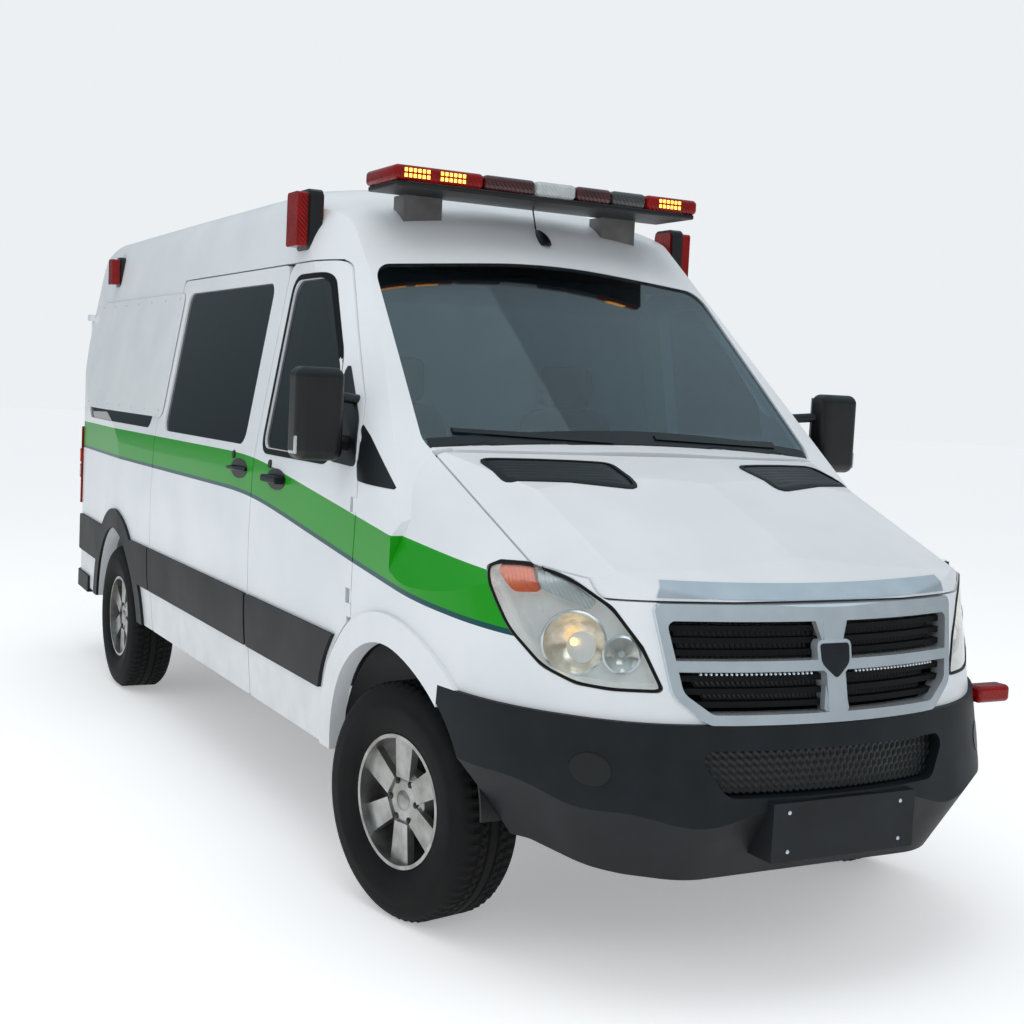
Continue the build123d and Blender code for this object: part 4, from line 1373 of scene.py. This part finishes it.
@dataclass
class DoorDress:
    """A front door's mirror glass, side repeater, corner plates and window seal."""

    side: Side
    window: Outline = (
        (-1.310, 1.400), (-1.310, 2.040), (-1.000, 2.040), (-0.700, 1.735), (-0.635, 1.600), (-0.610, 1.400),
    )
    corner: Outline = (
        (-0.590, 1.392), (-0.362, 1.386), (-0.366, 1.420), (-0.440, 1.545), (-0.640, 1.735), (-0.618, 1.600),
    )
    pillar: Outline = (
        (-0.322, 1.345), (-0.368, 1.440), (-0.412, 1.530), (-0.340, 1.488), (-0.110, 1.332),
    )
    glass: tuple[float, float, float] = (-0.5005, 1.084, 1.555)
    glass_half: tuple[float, float, float] = (0.003, 0.070, 0.138)
    repeater: tuple[float, float, float] = (-0.437, 1.1635, 1.452)
    repeater_half: tuple[float, float, float] = (0.034, 0.0042, 0.030)
    seal: tuple[float, float] = (-0.003, -0.024)

    def build(self) -> None:
        """Makes the pieces on this door, and the plate ahead of it."""
        word, y = self.side.word, self.side.value
        door, way = f"front_door_{word}", (0, -y, 0)
        flip = np.array((1, y, 1))
        glass = rounded_box(self.glass * flip, self.glass_half, 0.0028)
        fitted(glass, f"mirror_glass_{word}", MIRROR, door)
        lens = rounded_box(self.repeater * flip, self.repeater_half, 0.004)
        fitted(lens, f"mirror_repeater_{word}", WHITE_LENS, door)
        ring = np.insert(filled(rounded(self.corner, 0.03, 72)), 1, y, axis=-1)
        plate = plated(ring, way, [door], (0.004, -0.001))
        fitted(plate, f"mirror_corner_{word}", BLACK, door)
        ring = np.insert(filled(rounded(self.pillar, 0.012, 60)), 1, y, axis=-1)
        plate = plated(ring, way, ["windshield_frame", f"fender_{word}"], (0.0018, -0.001))
        fitted(plate, f"pillar_corner_{word}", BLACK, Body.SHELL)
        outline = rounded(self.window, 0.055, 128)
        inner, outer = (
            laid(np.insert(inset(outline, by), 1, y, axis=-1), way, [door]) for by in self.seal
        )
        seal = band(inner, outer, way, 0.003)
        fitted(seal, f"front_window_seal_{word}", SEAL, door, along=True)


@dataclass
class SignBoard:
    """The blank white board over the rear quarter window, with a row of rivets, on each side."""

    x: tuple[float, float] = (-4.615, -2.86)
    z: tuple[float, float] = (1.455, 2.050)
    thick: float = 0.006
    stand_off: float = 0.004
    # Half width and height of the waist, then x and half width where the wall starts to close in.
    waist: tuple[float, float] = (0.982, 1.340)
    quarter: tuple[float, float] = (-3.30, 1.001)
    lean: float = 0.1687
    closing: float = 0.0474
    rivets: int = 7
    rivet_inset: tuple[float, float] = (0.06, 0.03)

    def wall(self, x: Array, z: Array, proud: float) -> Array:
        """The side wall: it leans in above the waist, and closes in towards the tail.

        Args:
            x: places along.
            z: heights.
            proud: how far outside the wall.

        Returns:
            Points of the left side, of shape (..., 3).
        """
        lean = self.waist[0] - self.lean * (z - self.waist[1])
        tail = self.quarter[1] - self.closing * np.maximum(self.quarter[0] - x, 0)
        return np.stack([x, np.minimum(lean, tail) + proud, z], axis=-1)

    def build(self) -> None:
        """Makes the two boards and their rivets."""
        ring = filled(rounded(oblong(self.x, self.z), 0.05, 160), 12)
        boards, rivets = Stack(), Stack()
        dome = [(0, 0.003), (0.005, 0.002), (0.007, 0.0), (0.007, -0.002), (0, -0.002)]
        along, up = self.rivet_inset
        front = self.stand_off + self.thick
        for side in Side:
            flip = np.array((1, side.value, 1))
            lifts = (front, self.stand_off)
            face, back = (self.wall(ring[..., 0], ring[..., 1], lift) * flip for lift in lifts)
            boards.grid(sheet_between(face, back), around=True)
            for at in np.linspace(self.x[0] + along, self.x[1] - along, self.rivets):
                for height in (self.z[0] + up, self.z[1] - up):
                    foot = self.wall(np.array(at), np.array(height), front) * flip
                    rivets.grid(lathe(dome, foot, (0, side.value, 0), 12), around=True)
        mounted(boards, "sign_boards", PLAIN_WHITE, Body.SHELL)
        mounted(rivets, "sign_board_rivets", SATIN, Body.SHELL)


@dataclass
class RoofAndScreen:
    """The shark-fin antenna with its whip, and the dark cowl under the windshield."""

    fin: tuple[float, float, float] = (-1.030, 0.045, 2.236)
    fin_half: tuple[float, float, float] = (0.075, 0.024, 0.070)
    sweep: float = 0.055
    whip: tuple[Point, ...] = ((-1.075, 0.045, 2.29), (-1.095, 0.045, 2.34), (-1.118, 0.045, 2.398))
    whip_radius: float = 0.003
    cowl_half: float = 0.775
    cowl_z: float = 1.486
    cowl_drop: float = 0.050
    cowl_gap: float = 0.004
    cowl_height: float = 0.052

    def build(self) -> None:
        """Makes the fin, the whip and the cowl."""
        turn, up = np.meshgrid(np.linspace(0, 2 * np.pi, 32, endpoint=False), np.linspace(0, 1, 12))
        width = np.sqrt(1 - up**2)
        x = self.fin[0] - self.sweep * up**1.5 + self.fin_half[0] * width * np.cos(turn)
        y = self.fin[1] + self.fin_half[1] * width**1.5 * np.sin(turn)
        dome = np.stack([x, y, self.fin[2] + self.fin_half[2] * up], axis=-1)
        foot = dome[:1].mean(axis=1, keepdims=True) * np.ones((1, 32, 1))
        stack = Stack().grid(np.concatenate([foot, dome]), around=True)
        whip = carried(np.array(self.whip), circle(self.whip_radius, 8), (0, 1, 0))
        stack.grid(whip, around=True)
        mounted(stack, "roof_antenna", BLACK, Body.SHELL)
        s = np.linspace(-1, 1, 61)
        z = self.cowl_z - self.cowl_drop * np.abs(s) ** 1.8 + self.cowl_gap
        low = np.stack([np.zeros(61), self.cowl_half * s, z], axis=1)
        high = low + np.array((0, 0, self.cowl_height))
        rows = np.linspace(0, 1, 7)[:, None, None]
        flat = (1 - rows) * low + rows * high
        face, back = (laid(flat, (-1, 0, 0), ["windshield"], lift) for lift in (0.004, 0.0008))
        cowl = Stack().grid(wrapped(face, back), along=True)
        mounted(cowl, "cowl_band", BLACK, Body.SHELL)


@dataclass
class BumperDress:
    """The front bumper's mesh, fog covers and plate screws."""

    intake: Outline = ((-0.452, 0.702), (0.452, 0.702), (0.372, 0.580), (-0.372, 0.580))
    holes: tuple[int, int] = (36, 6)
    sunk: float = 0.020
    mesh_thick: float = 0.012
    hole_depth: float = 0.009
    # Places as (y, z).
    fog: tuple[float, float] = (0.712, 0.645)
    screws: Outline = ((-0.20, 0.430), (-0.20, 0.540), (0.20, 0.430), (0.20, 0.540))
    fog_radius: float = 0.044
    holder_x: float = 1.010

    def build(self) -> None:
        """Makes the mesh, a sheet whose depth waves in both directions, two fog covers and four screws."""
        nose = Grille().nose
        across, up = np.meshgrid(
            np.linspace(-1, 1, 4 * self.holes[0] + 1), np.linspace(0, 1, 4 * self.holes[1] + 1),
        )
        z = self.intake[2][1] + up * (self.intake[0][1] - self.intake[2][1])
        wide = self.intake[2][0] + up * (self.intake[1][0] - self.intake[2][0])
        pit = np.cos(np.pi * self.holes[0] * across) * np.cos(np.pi * self.holes[1] * up)
        holes = (self.hole_depth * (pit > 0.1))[..., None] * np.array((1, 0, 0))
        front = nose(across * wide, z, -self.sunk) - holes
        back = nose(across * wide, z, -self.sunk - self.mesh_thick)
        fitted(
            wrapped(front, back), "intake_mesh", BLACK, Body.SHELL, smooth=False,
            around=False, along=True,
        )
        covers = Stack()
        for side in Side:
            turn = np.linspace(0, 2 * np.pi, 48, endpoint=False)
            y = side.value * (self.fog[0] + self.fog_radius * np.cos(turn))
            z = self.fog[1] + self.fog_radius * np.sin(turn)
            ring = filled(np.stack([np.full(48, 0.9), y, z], axis=1), 5)
            covers.grid(plated(ring, (-1, 0, 0), ["front_bumper"], (0.003, -0.001)), around=True)
        mounted(covers, "fog_lamp_covers", BLACK, Body.SHELL)
        screws = Stack()
        head = [(0, 0.003), (0.004, 0.0028), (0.006, 0.001), (0.006, -0.001), (0, -0.001)]
        for place in self.screws:
            screws.grid(lathe(head, (self.holder_x, *place), (1, 0, 0), 16), around=True)
        mounted(screws, "plate_screws", SATIN, Body.SHELL)


@dataclass
class Seat:
    """A cab seat: padded cushion, back and head rest on a pedestal."""

    y: float
    first: bool = False
    # Name, x, z, half of length, width and thickness, pitch in degrees.
    pads: tuple[tuple[str, float, float, Point, float], ...] = (
        ("cushion", -1.100, 0.950, (0.230, 0.240, 0.062), 4.0),
        ("back", -1.340, 1.275, (0.325, 0.235, 0.050), 99.5),
        ("head_rest", -1.397, 1.686, (0.094, 0.130, 0.044), 92.0),
    )
    seam: float = 0.62
    stand: tuple[float, float] = (-1.110, 0.771)
    stand_half: tuple[float, float, float] = (0.190, 0.190, 0.1285)

    def pad(self, centre: Point, half: Point, lean: float, groove: float) -> Stack:
        """A stuffed pad: a round-edged box whose faces swell to the middle, with two sunk seams along it.

        Args:
            centre: its middle.
            half: half its length, width and thickness.
            lean: its pitch in degrees.
            groove: the seams' place, as a share of the half width.

        Returns:
            The pad's surface.
        """
        u, v = np.meshgrid(
            np.linspace(0, 2 * np.pi, 64, endpoint=False), np.linspace(-np.pi / 2, np.pi / 2, 33),
        )
        power = 0.38
        a, b = (np.sign(f) * np.abs(f) ** power for f in (np.cos(u), np.sin(u)))
        c, d = np.abs(np.cos(v)) ** power, np.sign(np.sin(v)) * np.abs(np.sin(v)) ** 0.75
        x, y = a * c, b * c
        sink = 1 - 0.10 * np.exp(-((np.abs(y) - groove) / 0.05) ** 2)
        local = np.stack([x * half[0], y * half[1], d * half[2] * sink], axis=-1)
        tilt = math.radians(lean)
        turn = np.array(
            [(math.cos(tilt), 0, math.sin(tilt)), (0, 1, 0), (-math.sin(tilt), 0, math.cos(tilt))]
        )
        return Stack().grid(np.asarray(centre) + local @ turn, around=True)

    def build(self) -> None:
        """Makes the pads and the pedestal."""
        word = "left" if self.y > 0 else "right"
        for name, x, z, half, lean in self.pads:
            pad = self.pad((x, self.y, z), half, lean, self.seam)
            piece = mounted(pad, f"seat_{name}_{word}", SEAT, Body.SHELL)
            if name == "cushion" and self.first:
                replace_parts(piece, "seats")
        x, z = self.stand
        stand = rounded_box((x, self.y, z), self.stand_half, 0.02)
        fitted(stand, f"seat_stand_{word}", BLACK, Body.SHELL)


@dataclass
class Rear:
    """The rear: bands on the tail lamps, a door handle and a blank plate."""

    tail: float = -4.862

    def cover(
        self, y: Point, z: Point, edge: tuple[float, int, int], node: str,
        lifts: tuple[float, float], side: int = 1,
    ) -> Array:
        """A plate with round corners, laid on a node from behind.

        Args:
            y: its edges across.
            z: its lower and upper edge.
            edge: the corner radius, the points around and the rings to its middle.
            node: the node that carries it.
            lifts: how far its face and its back stand off.
            side: -1 puts it on the right.

        Returns:
            The plate as a grid to be joined around.
        """
        radius, count, rings = edge
        ring = filled(rounded(oblong(y, z), radius, count), rings) * (side, 1)
        return plated(np.insert(ring, 0, self.tail, axis=-1), (1, 0, 0), [node], lifts)

    def build(self) -> None:
        """Lays bands of clear and amber on the tail lamps, and sets the handle and the plate."""
        for name, height, finish in (
            ("reversing", (1.030, 1.110), WHITE_LENS), ("amber", (1.120, 1.200), AMBER_LENS),
        ):
            stack = Stack()
            for side in Side:
                lens = self.cover(
                    (0.892, 0.948), height, (0.006, 40, 5), "tail_lamps", (0.002, -0.0005), side.value,
                )
                stack.grid(lens, around=True)
            mounted(stack, f"tail_lamp_{name}", finish, Body.SHELL)
        door, edge = "rear_door_right", (0.024, 48, 5)
        handle = self.cover((-0.190, -0.050), (1.190, 1.250), edge, door, (0.014, -0.001))
        fitted(handle, "rear_door_handle", BLACK, door)
        door, edge = "rear_door_left", (0.008, 80, 6)
        plate = self.cover((0.120, 0.640), (0.985, 1.105), edge, door, (0.005, -0.001))
        fitted(plate, "rear_blank_plate", PLAIN_WHITE, door)


@dataclass
class Studio:
    """A pale floor, soft lamps and the camera at the photo's angle."""

    position: tuple[float, float, float] = (4.154, -2.786, 1.656)
    azimuth: float = 151.97
    elevation: float = -4.63
    roll: float = 2.83
    lens_mm: float = 51.92
    floor_half: float = 60.0
    sky: str = "#F4F8FB"
    sky_strength: float = 0.62
    mirrored_sky: str = "#C3D9E4"
    horizon: float = 0.16
    backdrop: float = 0.93
    # Name, place, point looked at, side length, watts.
    lamps: tuple[tuple[str, Point, Point, float, float], ...] = (
        ("overhead", (1.0, -1.0, 8.0), (0.5, 0, 0.8), 7.0, 170),
        ("front", (9.5, -2.5, 5.0), (2.0, 0, 1.0), 4.0, 90),
        ("side", (0.0, -9.0, 5.0), (0, 0, 1.0), 5.0, 40),
    )

    def camera(self) -> None:
        """Places the camera by its heading, pitch and roll."""
        heading, pitch, tilt = (math.radians(v) for v in (self.azimuth, self.elevation, self.roll))
        ahead = Vector(
            (math.cos(heading) * math.cos(pitch), math.sin(heading) * math.cos(pitch), math.sin(pitch))
        )
        right = ahead.cross(Vector((0, 0, 1))).normalized()
        up = right.cross(ahead)
        across = math.cos(tilt) * right + math.sin(tilt) * up
        top = math.cos(tilt) * up - math.sin(tilt) * right
        data = bpy.data.cameras.new("camera")
        data.lens, data.sensor_width = self.lens_mm, 36.0
        data.clip_end = 500
        camera = bpy.data.objects.new("camera", data)
        place = Vector(self.position) + Vector((FRONT_AXLE_X, 0, 0))
        camera.matrix_world = Matrix.Translation(place) @ Matrix((across, top, -ahead)).transposed().to_4x4()
        bpy.context.scene.collection.objects.link(camera)
        bpy.context.scene.camera = camera

    def lamp(
        self, name: str, place: tuple[float, float, float], aim: tuple[float, float, float], size: float,
        power: float,
    ) -> None:
        """Adds a square soft lamp that looks at a point.

        Args:
            name: the lamp's name.
            place: where it hangs.
            aim: the point it looks at.
            size: the length of its side.
            power: its power in watts.
        """
        data = bpy.data.lights.new(name, "AREA")
        data.size, data.energy = size, power
        lamp = bpy.data.objects.new(name, data)
        lamp.location = place
        lamp.visible_glossy = False
        lamp.rotation_euler = (Vector(aim) - Vector(place)).to_track_quat("-Z", "Y").to_euler()
        bpy.context.scene.collection.objects.link(lamp)

    def build(self) -> None:
        """Makes the floor, the sky, the lamps and the camera."""
        scene = bpy.context.scene
        scene.view_settings.view_transform = "Standard"
        corners = np.array(
            [[[-1, -1, 0], [-1, 1, 0]], [[1, -1, 0], [1, 1, 0]]], dtype=float,
        ) * self.floor_half
        Stack().grid(corners).build("floor_sheet", FLOOR.material(), smooth=False)
        world = bpy.data.worlds.new("sky")
        scene.world = world
        world.use_nodes = True
        tree = world.node_tree
        ray = add_node(tree, "LightPath").outputs
        axes = add_node(tree, "SeparateXYZ", Vector=add_node(tree, "TexCoord").outputs["Generated"]).outputs
        mirrored = add_node(
            tree, "MapRange", Value=axes["Z"], From_Min=0.0, From_Max=0.75, To_Min=self.horizon,
            To_Max=1.0,
        )
        glossy, number = ray["Is Glossy Ray"], {"data_type": "FLOAT"}
        shiny = add_node(
            tree, "Mix", number, Factor=glossy, A=self.sky_strength, B=mirrored.outputs["Result"],
        )
        seen = add_node(
            tree, "Mix", number, Factor=ray["Is Camera Ray"], A=shiny.outputs["Result"], B=self.backdrop,
        )
        sky = tree.nodes["Background"]
        plain, shine = linear(self.sky), linear(self.mirrored_sky)
        tone = add_node(tree, "Mix", IN_COLOUR, Factor=glossy, A=plain, B=shine)
        tree.links.new(tone.outputs["Result"], sky.inputs["Color"])
        tree.links.new(seen.outputs["Result"], sky.inputs["Strength"])
        for lamp in self.lamps:
            self.lamp(*lamp)
        self.camera()


def write_sizes() -> None:
    """Updates the view layer."""
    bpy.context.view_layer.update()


def main() -> None:
    """Builds the pieces in order."""
    logging.basicConfig(level=logging.INFO, format="%(name)s %(message)s")
    bpy.context.view_layer.update()
    paint_nodes()
    for side in Side:
        for place in ("front", "rear"):
            Wheel(place, side).build()
        Headlamp(side).build()
        HoodVent(side).build()
        DoorDress(side).build()
        door = f"front_door_{side.word}"
        Handle(f"{door}_handle", door, door, side, -1.115, 1.290, bar=False).build()
    Handle("sliding_door_handle", "sliding_door", Body.SHELL, Side.RIGHT, -1.575, 1.300).build()
    Grille().build()
    HoodLip().build()
    LightBar().build()
    RoofLampBezels().build()
    SignBoard().build()
    RoofAndScreen().build()
    BumperDress().build()
    for y in (-0.400, 0.400):
        Seat(y, first=y < 0).build()
    Rear().build()
    Studio().build()
    write_sizes()


if __name__ == "__main__":
    main()
